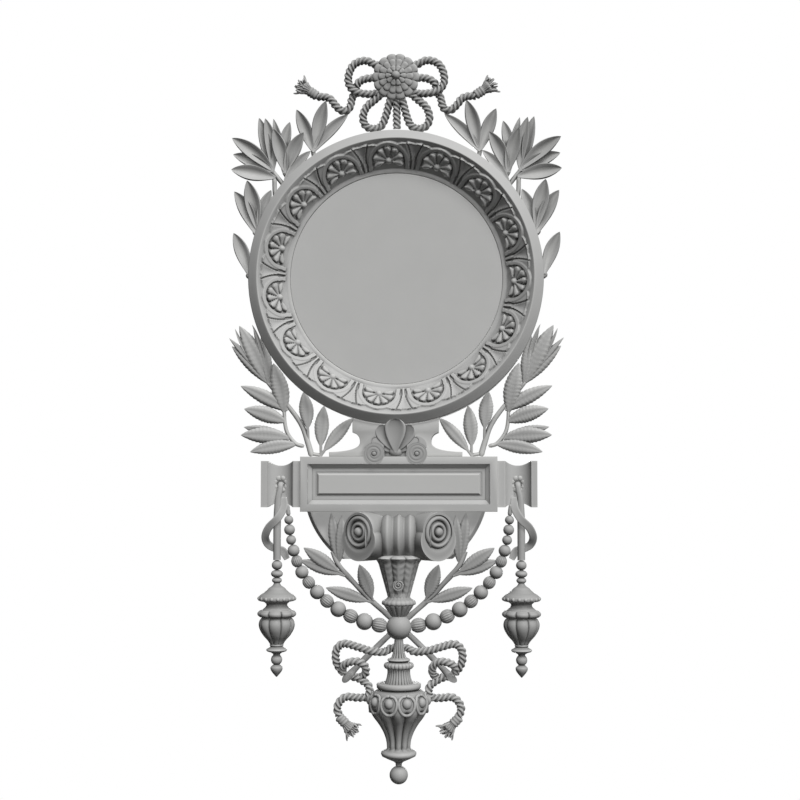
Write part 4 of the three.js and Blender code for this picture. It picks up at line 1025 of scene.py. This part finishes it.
CENTRE = span("centre_pendant")
STEM_TOP = BEAD_Y - BEAD_RADIUS + 1.3
URN_TOP = STEM_TOP - 69.2
URN_PEARLS = 10
PEARL_DROP = 14.5


def carve_centre_pendant(bm):
    """The fluted neck, scalloped collar, reeded drum, disc, pearled urn and end ball."""
    seat = hanging(MIDDLE, STEM_TOP, AXIS_OUT)
    neck = [
        (0, 0), (6, 0), (6.4, -6), (8, -18), (10.2, -25), (15, -27.2), (15.8, -28.6), (14.8, -30),
        (11, -31.4), (0, -31.4),
    ]

    def fluted_neck(radius, height, angle):
        depth = 0.16 if -26 < height < -2 and radius > 4 else 0
        return radius * (1 - depth * (1 - abs(math.cos(7 * angle)) ** 0.7)), height

    turned(bm, neck, 112, seat, fluted_neck)
    collar = [
        (0, -30.6), (12, -30.6), (15.5, -31.6), (19.6, -33), (20.6, -35), (20.6, -37.6), (18.6, -40),
        (15, -41.2), (0, -41.2),
    ]

    turned(bm, collar, 132, seat, gadroons(22, 0.05, 13, 0.5))
    drum = [
        (0, -41), *soft([(16, -41), (15.6, -45), (16.4, -51), (18, -56.5), (19.8, -60.8)], 5), (0, -60.8),
    ]

    turned(bm, drum, 156, seat, gadroons(26, 0.06, 10))
    disc = [(0, -60.4), (29.4, -60.4), (30.6, -61.4), (30.2, -66.2), (28, -68.4), (20, -69.4), (0, -69.4)]
    turned(bm, disc, 96, seat)
    urn_seat = hanging(MIDDLE, URN_TOP, AXIS_OUT)
    bowl = soft(
        [
            (30, 0), (34.5, -3), (39, -11), (40.6, -19), (39.4, -29), (35, -37), (29.6, -44), (24.4, -52),
            (20.4, -60), (17.6, -69), (16.6, -79),
        ],
        5,
    )
    urn = [
        (0, 0), *bowl, (17, -81), (20.6, -82.6), (24, -84.6), (24.4, -87), (23, -90), (15, -94),
        (7, -97.6), (4.4, -100), (4.2, -103.4), (0, -103.4),
    ]

    def long_gadroons(radius, height, angle):
        if height > -24 or height < -80 or radius < 12:
            return radius, height
        grow = min(1, (-24 - height) / 8)
        wave = abs(math.cos(5 * (angle + math.pi / 10)))
        return radius * (1 - 0.2 * grow * (1 - wave**0.8)), height

    turned(bm, urn, 160, urn_seat, long_gadroons)
    heights = [-point[1] for point in bowl]
    for k in range(URN_PEARLS):
        angle = FULL * k / URN_PEARLS
        if AXIS_OUT + 40 * math.sin(angle) < 8:
            continue
        x, out = MIDDLE + 38 * math.cos(angle), AXIS_OUT + 38 * math.sin(angle)
        ball(bm, x, URN_TOP - PEARL_DROP, out, 6.8, 22, 14, (1, 1, 1.08))
        loop = []
        for step in range(25):
            turn = FULL * step / 24 + math.pi / 2
            tall = 10 if math.sin(turn) > 0 else 15
            drop = PEARL_DROP - tall * math.sin(turn)
            i = min(bisect.bisect_left(heights, drop), len(bowl) - 1)
            hug = bowl[i][0] - 0.3
            there = angle + 11.4 * math.cos(turn) / hug
            x, out = MIDDLE + hug * math.cos(there), AXIS_OUT + hug * math.sin(there)
            loop.append((x, URN_TOP - drop, out))
        if min(point[2] for point in loop) > 3:
            stem(bm, loop, 2.3, around=10, step=1.2)
    ball(bm, MIDDLE, CENTRE.low + 12.6, AXIS_OUT, 12.6, 36, 24)
    trim(bm, at(0, 0, 0), (0, 1, 0))


# Side pendants, ribbons and garlands


def cord_route():
    """The cord from the hole in the scoop down to the first bead."""
    floor = BLOCK.front - 13
    return [
        (SCOOP_X, TABLET_MIDDLE, floor - 7),
        (SCOOP_X, TABLET_MIDDLE - 1, floor + 2),
        (SCOOP_X - 0.5, TABLET_MIDDLE - 8, floor + 4.6),
        (PENDANT_X + 1, BLOCK.low + 10, PENDANT_OUT - 1),
        (PENDANT_X, BLOCK.low - 20, PENDANT_OUT),
        (PENDANT_X, ROD_BOTTOM, PENDANT_OUT),
    ]


def carve_side_pendant(bm):
    """The cord, beads, pearled cap, lobed ring, gadrooned body and drop."""
    path = Path(cord_route())

    def cord(share, turn):
        radius = 3.6 + (5.3 - 3.6) * min(1, share * 2)
        fade = min(1, max(0, (0.62 - share) * 5))
        seam = 0.12 * fade * math.exp(-((math.sin(turn * 1.5 + 0.6) / 0.25) ** 2))
        return radius * (1 - seam) * math.cos(turn), radius * (1 - seam) * math.sin(turn)

    tube(bm, path, 20, 90, cord)
    seat = hanging(PENDANT_X, ROD_BOTTOM, PENDANT_OUT)
    for y, radius, tall in ((-7, 7.3, 0.95), (-19, 8.3, 0.66), (-28, 6.9, 0.66)):
        ball(bm, PENDANT_X, ROD_BOTTOM + y, PENDANT_OUT, radius, 28, 16, (1, 1, tall))
    cap = [
        (0, -31), *soft([(4, -31.4), (6, -35), (11, -38.6), (13.4, -41.4)], 4), (16.2, -43.6),
        *soft([(17.4, -45), (22, -47.6), (24.6, -50)], 4), (25.4, -51.4), (25.2, -54.6), (24, -56.2),
        (18, -57.4), (14.6, -60.2), (14.4, -62.6), *soft([(16, -65), (19, -67.6), (20.4, -69.4)], 4),
        (0, -69.4),
    ]
    turned(bm, cap, 96, seat)
    for k in range(18):
        angle = FULL * k / 18
        x, out = PENDANT_X + 24.2 * math.cos(angle), PENDANT_OUT - 24.2 * math.sin(angle)
        ball(bm, x, ROD_BOTTOM - 53, out, 2.9, 12, 8)
    ring = [
        (0, -68.6), (20, -68.6), *soft([(23.4, -69.4), (26.6, -72.6), (26.4, -76), (23.4, -78.6)], 5),
        (19, -79.4), (0, -79.4),
    ]

    turned(bm, ring, 128, seat, gadroons(8, 0.16, 15, 0.5))
    body = [
        (0, -78.4),
        *soft(
            [(20, -78.6), (23.6, -83), (25, -89), (23.4, -96), (18.6, -104), (12.4, -111), (8.9, -116.6)],
            5,
        ),
        (0, -116.6),
    ]

    turned(bm, body, 128, seat, gadroons(8, 0.14, 6))
    neck = [
        (0, -115.6), (9, -115.8), (9.6, -117.4), (8.6, -119.2), (11, -121), (14, -122.6), (14.4, -124),
        (13, -125.6), (8, -127.2), (5.2, -129), (4.6, -131), (0, -131),
    ]
    turned(bm, neck, 72, seat)
    ball(bm, PENDANT_X, ROD_BOTTOM - 137, PENDANT_OUT, 7.8, 28, 18)
    drop = [
        (0, -143), (3.6, -143.4),
        *soft([(5.6, -144.6), (8.3, -147.6), (7.6, -152), (4, -157), (0.6, -160.8)], 5), (0, -161),
    ]
    turned(bm, drop, 48, seat)


def carve_ribbon(bm):
    """The ribbon that leaves the scoop, crosses the cord and turns behind it."""
    x, y = PENDANT_X, TABLET.low
    front = PENDANT_OUT + 5.3 + 3.5
    back = PENDANT_OUT - 5.3 - 3.5
    path = Path([
        (x + 9, y + 19.4, BLOCK.front - 13 + 4),
        (x + 9, y + 5, PENDANT_OUT + 3),
        (x + 1, y - 10, front),
        (x - 11, y - 22, front - 3),
        (x - 16.5, y - 35, PENDANT_OUT),
        (x - 13, y - 46, back + 2),
        (x - 2, y - 52, back),
        (x + 7, y - 55, back),
        (x + 13, y - 66, back + 1),
    ])

    def strap(share, turn):
        c = math.copysign(abs(math.cos(turn)) ** 0.55, math.cos(turn))
        s = math.copysign(abs(math.sin(turn)) ** 0.55, math.sin(turn))
        end = min(1, 0.75 + 0.9 * min(share, 1 - share) * 4)
        return c * 5.4 * end, s * 2.5 - 0.8 * (1 - c * c)

    tube(bm, path, 24, 72, strap)


def swag_string():
    """The string of the left garland, from its drop under the end block to the big bead."""
    radius = 158.5
    drop = TABLET.low - BEAD_Y
    last = 90 + math.degrees(math.asin((BEAD_RADIUS + 0.3) / radius))
    points = []
    for k in range(13):
        angle = math.radians(178 + (last - 178) * k / 12)
        tall = radius + (drop - radius) * math.sin(angle) ** 2
        tuck = 5.2 * max(0, 1 - (math.sin(angle) / 0.52) ** 2)
        x = MIDDLE + radius * math.cos(angle) + tuck
        points.append((x, TABLET.low - tall * math.sin(angle), PENDANT_OUT))
    x, y, out = points[0]
    return Path([(x - 1.5, y + 16, out + 1), (x - 0.5, y + 8, out + 1), *points])


def carve_garland(bm):
    """Beads that grow toward the middle, a small ribbed one and a plain large one by turns."""
    string = swag_string()
    lead = 16
    beads = 13
    grow = []
    for k in range(beads):
        share = k / (beads - 1)
        grow.append(6.7 + 3.5 * share if k % 2 == 0 else 7.6 + 5.4 * share)
    fit = (string.length - lead) / sum(2 * radius for radius in grow)
    travelled = lead
    for k, size in enumerate(grow):
        radius = size * fit
        (x, y, out), along = string.place((travelled + radius) / string.length)
        turn = math.atan2(along.y, along.x)
        tilt = Matrix.Rotation(math.pi / 2 - turn, 4, "Y")
        seat = Matrix.Translation(at(x, y, out)) @ tilt @ Matrix.Scale(MM, 4)
        if k % 2 == 0 and k >= 4:
            barrel = soft(
                [
                    (size * 0.62, -size * 0.9), (size * 0.93, -size * 0.45), (size, 0),
                    (size * 0.93, size * 0.45), (size * 0.62, size * 0.9),
                ],
                4,
            )
            outline = [
                (0, -size * 0.98), (size * 0.5, -size * 0.98), *barrel, (size * 0.5, size * 0.98),
                (0, size * 0.98),
            ]
            turned(bm, outline, 96, seat, gadroons(16, 0.07, size * 0.55))
        else:
            plain = bmesh.new()
            bmesh.ops.create_uvsphere(plain, u_segments=28, v_segments=18, radius=radius * 1.01, matrix=seat)
            join_in(bm, plain)
        travelled += 2 * radius
    first = string.place(0)[0]
    last = string.place(lead / string.length)[0]
    stem(bm, [tuple(first), tuple(first.lerp(last, 0.5)), tuple(last)], 2.6, 3.2, around=14, step=1.5)


# Leaf sprays


def from_rim(degrees, away, out):
    """A point at a distance from the ring's rim."""
    angle = math.radians(degrees)
    radius = RING_RADIUS + away
    return radius * math.cos(angle), radius * math.sin(angle), out


# Each leaf: angle on the rim, distance from it, heading, length, width and rise
LAUREL_LEAVES = [
    (123, 11, 46, 72, 17, 6),
    (121.5, 14, 76, 66, 20, 13),
    (123, 13, 111, 61, 19, 8),
    (135.7, 13, 64, 60, 20, 12),
    (133.7, 27, 80, 57, 16, 2),
    (136.5, 14, 101, 80, 13, 0),
    (138.5, 28, 98, 74, 18, 8),
    (138.7, 35, 101, 73, 17, 2),
    (136, 12, 105, 62, 21, 15),
    (138.5, 28, 142, 72, 21, 12),
    (138.5, 26, 157, 63, 19, 2),
    (139.8, 19, 171, 62, 23, 10),
    (139.5, 3, 51, 60, 15, 4),
    (158.9, 3, 71, 55, 17, 2),
    (160, 4, 101, 69, 23, 10),
    (162, 3, 117, 68, 21, 3),
    (178, 3, 110, 62, 20, 5),
]
LAUREL_STEMS = [
    (122.3, 17, 125, -10),
    (131, 20, 136, -9),
    (136, 17, 137.5, -9),
    (138.5, 32, 140.5, -10),
    (139.3, 5, 141, -9),
    (140, 20, 149, -8),
    (161, 8, 163, -10),
    (178, 6, 180, -10),
]


def carve_laurel(bm):
    """The left laurel spray: smooth hollow leaves on short stems from behind the ring."""
    for k, (degrees, away, heading, length, width, rise) in enumerate(LAUREL_LEAVES):
        bend = (-3.2, -2.2, -1.2)[k % 3] if heading > 90 else (3.2, 2.2, 1.2)[k % 3]
        lean = (5, -4, 7, -6, 2)[k % 5]
        leaf(bm, from_rim(degrees, away, 9), heading, length, width, rise, bend=bend, rows=28, lean=lean)
    for degrees, away, under, inward in LAUREL_STEMS:
        halfway = from_rim((degrees + under) / 2, away * 0.3, 5.2)
        stem(bm, [from_rim(degrees, away, 8.5), halfway, from_rim(under, inward, 4)], 3.2, 3.4)
    arc = [math.radians(120 + 64 * k / 24) for k in range(25)]
    outer = [(205 * math.cos(a), 205 * math.sin(a)) for a in arc]
    inner = [(191 * math.cos(a), 191 * math.sin(a)) for a in reversed(arc)]
    board(bm, outer + inner, 0, 6.6, 0.4)


OLIVE_STEM = [(1, 1), (-4.5, 20), (-13, 44), (-29.5, 68), (-50, 91), (-63, 107)]
OLIVE_TWIG = [(-10, 15), (-22, 19), (-33, 33), (-37, 48), (-38, 66)]
OLIVE_FOOT = [(-3, 5), (7, 3), (16, 2)]
# Each leaf: base, heading, length, width, rise and bare stalk
OLIVE_LEAVES = [
    (-62, 105, 116, 88, 25, 10, 0),
    (-60, 104, 135, 73, 18, 5, 0),
    (-60, 103, 99, 67, 16, 5, 0),
    (-64, 108, 131, 78, 10, 8, 0),
    (-64, 108, 103, 76, 8, 8, 0),
    (-38, 63, 102, 70, 24, 9, 0),
    (-33, 66, 153, 74, 20, 6, 0),
    (-37, 50, 163, 59, 22, 8, 0),
    (-32, 27, 177, 66, 23, 9, 0),
    (-31, 25, 165, 66, 16, 2, 0),
    (-22, 18, 190, 64, 19, 7, 0),
    (-4, 24, 95, 68, 20, 8, 18),
    (14, 2, 86, 70, 20, 8, 15),
    (13, 1, 49, 71, 17, 6, 12),
]


def carve_olive(bm):
    """The left olive spray on the tablet: toothed leaves with a ribbed blade."""
    foot = TABLET.left + 12

    def spot(x, y, out=11):
        return foot + x, TABLET.high + y, out

    for x, y, heading, length, width, rise, stalk in OLIVE_LEAVES:
        leaf(
            bm, spot(x, y), heading, length, width, rise, bend=-1.5 if heading > 90 else 1.5, stalk=stalk,
            front=olive_front, swell_of=olive_swell, toothed=True, rows=60,
            lean=6 if heading > 120 else -6,
        )
    for heading, length in ((122, 80), (104, 76)):
        leaf(bm, spot(-64, 112), heading, length, 6, 12, bend=4 if heading > 110 else -4, rows=24)
    stem(bm, [spot(x, y) for x, y in OLIVE_STEM], 4.2, 2.6, around=14)
    stem(bm, [spot(x, y) for x, y in OLIVE_TWIG], 2.9, 2.5)
    stem(bm, [spot(x, y + 0.6) for x, y in OLIVE_FOOT], 2.6, 2.4)
    trim(bm, at(0, TABLET.high + 0.3, 0), (0, 0, -1))


BRANCH = [
    (-92, 104, 27), (-83, 84, 27), (-60, 57, 19), (-37, 33, 12), (0, 0, 8), (44, -42, 12), (79, -78, 18),
]
# Each leaf: base, heading, length, width, rise and bare stalk
BRANCH_LEAVES = [
    (-84, 90, 27, 98, 69, 17, 4, 0),
    (-83, 90, 27, 86, 65, 15, 7, 0),
    (-76, 71, 25, 146, 68, 19, 4, 12),
    (-75, 70, 25, 161, 66, 17, 0, 10),
    (-36, 33, 13, 110, 56, 20, 10, 8),
    (-36.5, 32, 13, 162, 69, 18, 8, 10),
]


def carve_branches(bm):
    """The two cut branches that cross behind the big bead."""
    for side in (1, -1):
        def spot(x, y, out, side=side):
            return MIDDLE + side * x, BEAD_Y + y, out

        path = Path([spot(*p) for p in BRANCH])

        def bark(share, turn, path=path):
            knot = 0.3 * math.sin(path.length * share / 5.2) * math.sin(2 * turn + share * 9)
            radius = 3.5 + 0.9 * share + 1.6 * max(0, (share - 0.9) / 0.1) + knot
            return radius * math.cos(turn), radius * math.sin(turn)

        branch = bmesh.new()
        tube(branch, path, 20, 90, bark)
        end, along = path.place(1)
        slope = along * 0.46 + OUT * 0.89
        trim(branch, at(*(end - along * 10)), at(*slope).normalized())
        close_holes(branch)
        join_in(bm, branch)
        for x, y, out, heading, length, width, rise, stalk in BRANCH_LEAVES:
            leaf(
                bm, spot(x, y, out), heading if side > 0 else 180 - heading, length, width, rise,
                stalk=stalk, front=olive_front, swell_of=olive_swell, toothed=True, rows=56,
            )


# Bows


def tassel(bm, x, y, out, heading, length=32, wide=15.5):
    """A bound cap, a ribbed skirt and a flared fringe of wavy strands."""
    turn = math.radians(heading)
    along = Vector((math.cos(turn), math.sin(turn), 0))
    across = Vector((-math.sin(turn), math.cos(turn), 0))
    lean = Matrix.Rotation(-(turn - math.pi / 2), 4, "Y")
    seat = Matrix.Translation(at(x, y, out)) @ lean @ Matrix.Diagonal((1, 0.8, 1, 1)) @ Matrix.Scale(MM, 4)
    cap = [
        (0, -3.4), (4.6, -3.2), (6.8, -1.6), (7.2, 0), (6.4, 1.7), (6.3, 2.3), (7.2, 3.6), (7.2, 5),
        (6.3, 6.2), (6.4, 6.8), (7.4, 8), (7.3, 9.4), (6.2, 10.4), (6.6, 12), (8.2, 16), (10, 20.5),
        (9, 22), (0, 22),
    ]

    def skirt(radius, height, angle):
        if height < 10.4 or radius < 5:
            return radius, height
        rib = 0.5 + 0.5 * math.cos(15 * angle + 0.35 * height)
        return radius * (0.8 + 0.2 * rib), height - 2 * rib * (height > 18)

    turned(bm, cap, 90, seat, skirt)
    for row, (lift, spread, count) in enumerate(((2.6, 0.86, 7), (0, 1.0, 8), (-3, 0.8, 6))):
        for k in range(count):
            share = (k + 0.5) / count * 2 - 1
            sway = 1.5 * math.sin(k * 2.3 + row * 1.7)
            tall = length * (0.93 + 0.09 * math.sin(k * 3.7 + row * 2.1)) * (1 - 0.1 * share * share)
            points = []
            for step in range(6):
                part = step / 5
                side = share * spread * (5 + (wide - 5) * part**1.1)
                side += sway * math.sin(math.pi * part * 1.5 + k)
                reach = 12 + (tall - 12) * part
                proud = lift * (0.7 + 0.5 * part) + 1.1 * math.sin(k * 1.9 + part * 4)
                spot = Vector((x, y, out)) + along * reach + across * side + OUT * proud
                points.append(tuple(spot))
            stem(bm, points, 1.8, 1.2, around=7, step=2)


BOW_LOOP = [
    (0, -29, 16), (-12, -31, 16), (-22, -35, 22), (-40, -33, 27), (-57, -28, 26), (-76, -24, 22),
    (-86, -31, 20), (-88, -44, 18), (-85, -55, 16), (-77, -66, 14),
]
BOW_KNOT = [
    (-77, -66, 14), (-78, -56, 20), (-68, -49, 27), (-56, -48, 27), (-47, -55, 22), (-47, -66, 15),
    (-56, -72, 12), (-68, -70, 12),
]
BOW_TAIL = [
    (-62, -70, 12), (-51, -76, 14), (-43, -82, 16), (-41, -91, 17), (-45, -98, 17), (-58, -99, 16),
    (-73, -98, 16), (-82, -104, 16), (-86, -114, 16), (-83, -124, 16),
]


def carve_cord_bow(bm):
    """The rope bow tied round the crossed branches, with its two tassels."""
    for side in (1, -1):
        for run in (BOW_LOOP, BOW_KNOT, BOW_TAIL):
            rope(bm, [(MIDDLE + side * x, BEAD_Y + y, out) for x, y, out in run])
        tassel(bm, MIDDLE + side * -82, BEAD_Y - 127, 16, -46 if side > 0 else -134)


CREST_LOOP = [
    (0, 92, 16), (-29, 98, 17), (-40, 103, 18), (-50, 103, 18), (-60, 98, 18), (-66, 88, 18),
    (-68, 76, 18), (-65, 66, 19), (-58, 59, 20), (-46, 56, 20), (-28, 57, 18), (0, 70, 16),
]
CREST_STRAND = [(0, 79, 16), (-34, 79, 17), (-46, 77, 17), (-54, 72, 16), (-58, 62, 14)]
CREST_TAIL = [
    (-58, 60, 14), (-63, 50, 14), (-65, 40, 15), (-70, 33, 16), (-78, 33, 17), (-86, 40, 18),
    (-92, 48, 18), (-100, 52, 17), (-112, 53, 16),
]
CREST_DROP = [
    (-12, 64, 16), (-31, 47, 18), (-42, 37, 18), (-47, 23, 17), (-43, 11, 16), (-32, 6.5, 16),
    (-21, 11, 16), (-15, 24, 17), (-10, 42, 18), (-4, 60, 16),
]
CREST_MIDDLE = [(0, 72, 18), (0.5, 40, 18), (1, 6.5, 18)]


def carve_crest_bow(bm):
    """The rope bow above the ring, with its two tassels."""
    for side in (1, -1):
        for run in (CREST_LOOP, CREST_STRAND, CREST_TAIL, CREST_DROP):
            rope(bm, [(side * x, RING_RADIUS + y, out) for x, y, out in run])
        tassel(bm, -side * 114, RING_RADIUS + 55, 17, 33 if side < 0 else 147)
    rope(bm, [(x, RING_RADIUS + y, out) for x, y, out in CREST_MIDDLE])
    hub = [(0, 8), (18, 8), (18, ROSETTE.back - 0.4), (0, ROSETTE.back - 0.4)]
    turned(bm, hub, 40, facing(0, RING_RADIUS + 77, 0))


def carve_rosette(bm):
    """The rosette: two tiers of rounded petals round a bead."""
    seat = facing(0, RING_RADIUS + 77, ROSETTE.back)

    def tier(outer, low, high, petals, hollow):
        """One round of dished petals."""
        rows = 18
        columns = petals * 14

        def corner(column, row):
            angle = FULL * (column % columns) / columns
            wave = abs(math.cos(petals * angle / 2))
            rim = outer * (0.93 + 0.07 * wave**0.5)
            if row > rows:
                return seat @ Vector((rim * math.cos(angle), rim * math.sin(angle), low))
            share = row / rows
            reach = share * rim
            swell = math.sin(math.pi * min(1, share**1.4)) ** 0.6 if share < 1 else 0
            dish = hollow * math.exp(-(((share - 0.72) / 0.16) ** 2)) * wave
            groove = 1.7 * (1 - wave**0.7) * min(1, share * 2)
            height = low + (high - low) * (0.55 + 0.45 * swell) - dish - groove
            return seat @ Vector((reach * math.cos(angle), reach * math.sin(angle), max(low + 0.4, height)))

        sheet(bm, columns, rows + 1, corner)

    tier(33, 0, 7.4, 14, 1.3)
    tier(25, 3, 9.6, 14, 1.1)
    tier(15, 5, 12.4, 10, 0.9)
    ball(bm, 0, RING_RADIUS + 77, ROSETTE.front - 6.4, 6.4, 32, 20)


# Operators


class CARVED_OT_ring(bpy.types.Operator):
    """Carves the round moulding and the plate inside it"""

    bl_idname = "carved.ring"
    bl_label = "Ring and Plate"

    def execute(self, context):
        make_piece("carved_ring_frame", carve_ring, "ring_frame", carved_paint(), crease=60)
        make_piece("plain_dial_plate", carve_plate, "dial_plate", plate_paint(), crease=30)
        return {"FINISHED"}


class CARVED_OT_boards(bpy.types.Operator):
    """Shapes the backboard, the tablet and its end blocks"""

    bl_idname = "carved.boards"
    bl_label = "Boards and Tablet"

    def execute(self, context):
        for name, carve, node in (
            ("shaped_backboard", carve_backboard, "backboard"),
            ("moulded_tablet", carve_tablet, "tablet"),
        ):
            make_piece(name, carve, node, board_paint(), crease=26)
        in_pairs("end_block", carve_end_block, board_paint(), MIDDLE)
        return {"FINISHED"}


class CARVED_OT_shell(bpy.types.Operator):
    """Carves the shell on the neck board"""

    bl_idname = "carved.shell"
    bl_label = "Shell"

    def execute(self, context):
        make_piece("carved_shell", carve_shell, "shell", shaded_paint(), crease=55)
        return {"FINISHED"}


class CARVED_OT_capital(bpy.types.Operator):
    """Carves the capital"""

    bl_idname = "carved.capital"
    bl_label = "Capital"

    def execute(self, context):
        make_piece("carved_capital", carve_capital, "capital", shaded_paint(), crease=55)
        return {"FINISHED"}


class CARVED_OT_drop(bpy.types.Operator):
    """Turns and carves the torch, the big bead and the centre pendant"""

    bl_idname = "carved.drop"
    bl_label = "Torch and Centre Pendant"

    def execute(self, context):
        for name, carve, node in (
            ("carved_torch", carve_torch, "torch"),
            ("turned_big_bead", carve_big_bead, "big_bead"),
            ("turned_centre_pendant", carve_centre_pendant, "centre_pendant"),
        ):
            make_piece(name, carve, node, turned_paint(), crease=55)
        return {"FINISHED"}


class CARVED_OT_side_pendants(bpy.types.Operator):
    """Turns the side pendants and winds their ribbons"""

    bl_idname = "carved.side_pendants"
    bl_label = "Side Pendants"

    def execute(self, context):
        in_pairs("side_pendant", carve_side_pendant, turned_paint(), MIDDLE)
        in_pairs("ribbon", carve_ribbon, shaded_paint(), MIDDLE)
        return {"FINISHED"}


class CARVED_OT_garlands(bpy.types.Operator):
    """Strings the beads of the two garlands"""

    bl_idname = "carved.garlands"
    bl_label = "Garlands"

    def execute(self, context):
        in_pairs("garland", carve_garland, turned_paint(), MIDDLE)
        return {"FINISHED"}


class CARVED_OT_sprays(bpy.types.Operator):
    """Carves the laurel and olive sprays and the crossed branches"""

    bl_idname = "carved.sprays"
    bl_label = "Leaf Sprays"

    def execute(self, context):
        in_pairs("laurel", carve_laurel, carved_paint(), 0)
        in_pairs("olive", carve_olive, carved_paint(), 0)
        make_piece("carved_crossed_branches", carve_branches, "crossed_branches", shaded_paint())
        return {"FINISHED"}


class CARVED_OT_bows(bpy.types.Operator):
    """Carves the two rope bows and the rosette"""

    bl_idname = "carved.bows"
    bl_label = "Rope Bows and Rosette"

    def execute(self, context):
        for name, carve, node in (
            ("carved_cord_bow", carve_cord_bow, "cord_bow"),
            ("carved_crest_bow", carve_crest_bow, "crest_bow"),
            ("carved_crest_rosette", carve_rosette, "crest_rosette"),
        ):
            make_piece(name, carve, node, shaded_paint(), crease=70)
        return {"FINISHED"}


# The floor lies this far below the lowest point, in mm; its reach and middle are in metres
FLOOR_DROP = 400
FLOOR_REACH = (1.6, 1.3)
FLOOR_MIDDLE_Y = -0.95
SUN_SPREAD = math.radians(24)
FROM_FRONT = Vector((0.3, -0.64, 0.7))
FROM_BEHIND = Vector((0, 1, 0))
EYE_X = 0.064
EYE_HEIGHT = -0.289
TURNED_UP = math.radians(2.6)
TURNED_LEFT = math.radians(1.32)
LENS = 62.6
LENS_SHIFT = (-0.0122, 0.0262)


class CARVED_OT_stage(bpy.types.Operator):
    """Sets the floor, the light and the camera"""

    bl_idname = "carved.stage"
    bl_label = "Stage"

    def execute(self, context):
        scene = context.scene
        look = scene.carved_stage
        scene.view_settings.view_transform = "Standard"
        bm = bmesh.new()
        below = (CENTRE.low - FLOOR_DROP) * MM
        wide, deep = FLOOR_REACH
        sheet(bm, 2, 2, lambda i, j: Vector(((i - 1) * wide, (j - 1) * deep + FLOOR_MIDDLE_Y, below)))
        mesh = bpy.data.meshes.new("floor")
        bm.to_mesh(mesh)
        bm.free()
        floor = bpy.data.objects.new("floor", mesh)
        floor.visible_diffuse = False
        scene.collection.objects.link(floor)
        pale = bpy.data.materials.new("pale_matt_floor")
        pale.use_nodes = True
        pale.node_tree.nodes["Principled BSDF"].inputs["Base Color"].default_value = linear(paint().floor)
        pale.node_tree.nodes["Principled BSDF"].inputs["Roughness"].default_value = 0.8
        mesh.materials.append(pale)

        world = bpy.data.worlds.new("studio")
        scene.world = world
        world.use_nodes = True
        tree = world.node_tree
        tree.nodes.clear()
        seen = add_node(tree, "ShaderNodeBackground", {"Color": (1, 1, 1, 1), "Strength": 1})
        cast = add_node(tree, "ShaderNodeBackground", {"Color": (1, 1, 1, 1), "Strength": look.fill})
        ray = add_node(tree, "ShaderNodeLightPath")
        both = add_node(
            tree,
            "ShaderNodeMixShader",
            None,
            {0: ray.outputs["Is Camera Ray"], 1: cast.outputs[0], 2: seen.outputs[0]},
        )
        add_node(tree, "ShaderNodeOutputWorld", None, {"Surface": both.outputs[0]})

        for name, strength, toward, shadow in (
            ("key", look.key, FROM_FRONT, False),
            ("modelling", look.modelling, FROM_FRONT, True),
            ("rear", look.rear, FROM_BEHIND, False),
        ):
            light = bpy.data.lights.new(name, "SUN")
            light.energy = strength
            light.angle = SUN_SPREAD
            light.use_shadow = shadow
            lamp = bpy.data.objects.new(name, light)
            scene.collection.objects.link(lamp)
            lamp.rotation_euler = toward.to_track_quat("Z", "Y").to_euler()

        lens = bpy.data.cameras.new("camera")
        lens.lens = LENS
        lens.sensor_width = 36
        lens.clip_start = 0.05
        camera = bpy.data.objects.new("camera", lens)
        scene.collection.objects.link(camera)
        lens.shift_x, lens.shift_y = LENS_SHIFT
        camera.location = (EYE_X, -look.distance, EYE_HEIGHT)
        camera.rotation_euler = (math.pi / 2 + TURNED_UP, 0, TURNED_LEFT)
        scene.camera = camera
        return {"FINISHED"}


class CARVED_PT_panel(bpy.types.Panel):
    """The panel of the carved frame"""

    bl_idname = "CARVED_PT_panel"
    bl_label = "Carved Wall Frame"
    bl_space_type = "VIEW_3D"
    bl_region_type = "UI"
    bl_category = "Carved Frame"

    def draw(self, context):
        for group in (context.scene.carved_sizes, context.scene.carved_paint, context.scene.carved_stage):
            column = self.layout.column(align=True)
            for name in group.__annotations__:
                column.prop(group, name)
        for operator in STEPS:
            self.layout.operator(operator.bl_idname)


GROUPS = (Sizes, Paint, Stage)
STEPS = (
    CARVED_OT_stage,
    CARVED_OT_ring,
    CARVED_OT_boards,
    CARVED_OT_shell,
    CARVED_OT_capital,
    CARVED_OT_drop,
    CARVED_OT_side_pendants,
    CARVED_OT_garlands,
    CARVED_OT_sprays,
    CARVED_OT_bows,
)


def register():
    """Adds the settings, the operators and the panel."""
    for cls in (*GROUPS, *STEPS, CARVED_PT_panel):
        bpy.utils.register_class(cls)
    bpy.types.Scene.carved_sizes = bpy.props.PointerProperty(type=Sizes)
    bpy.types.Scene.carved_paint = bpy.props.PointerProperty(type=Paint)
    bpy.types.Scene.carved_stage = bpy.props.PointerProperty(type=Stage)


def unregister():
    """Takes the panel, the operators and the settings away again."""
    del bpy.types.Scene.carved_stage
    del bpy.types.Scene.carved_paint
    del bpy.types.Scene.carved_sizes
    for cls in reversed((*GROUPS, *STEPS, CARVED_PT_panel)):
        bpy.utils.unregister_class(cls)


def main():
    """Builds the stage and every piece in order."""
    register()
    for operator in STEPS:
        group, name = operator.bl_idname.split(".")
        getattr(getattr(bpy.ops, group), name)()


if __name__ == "__main__":
    main()
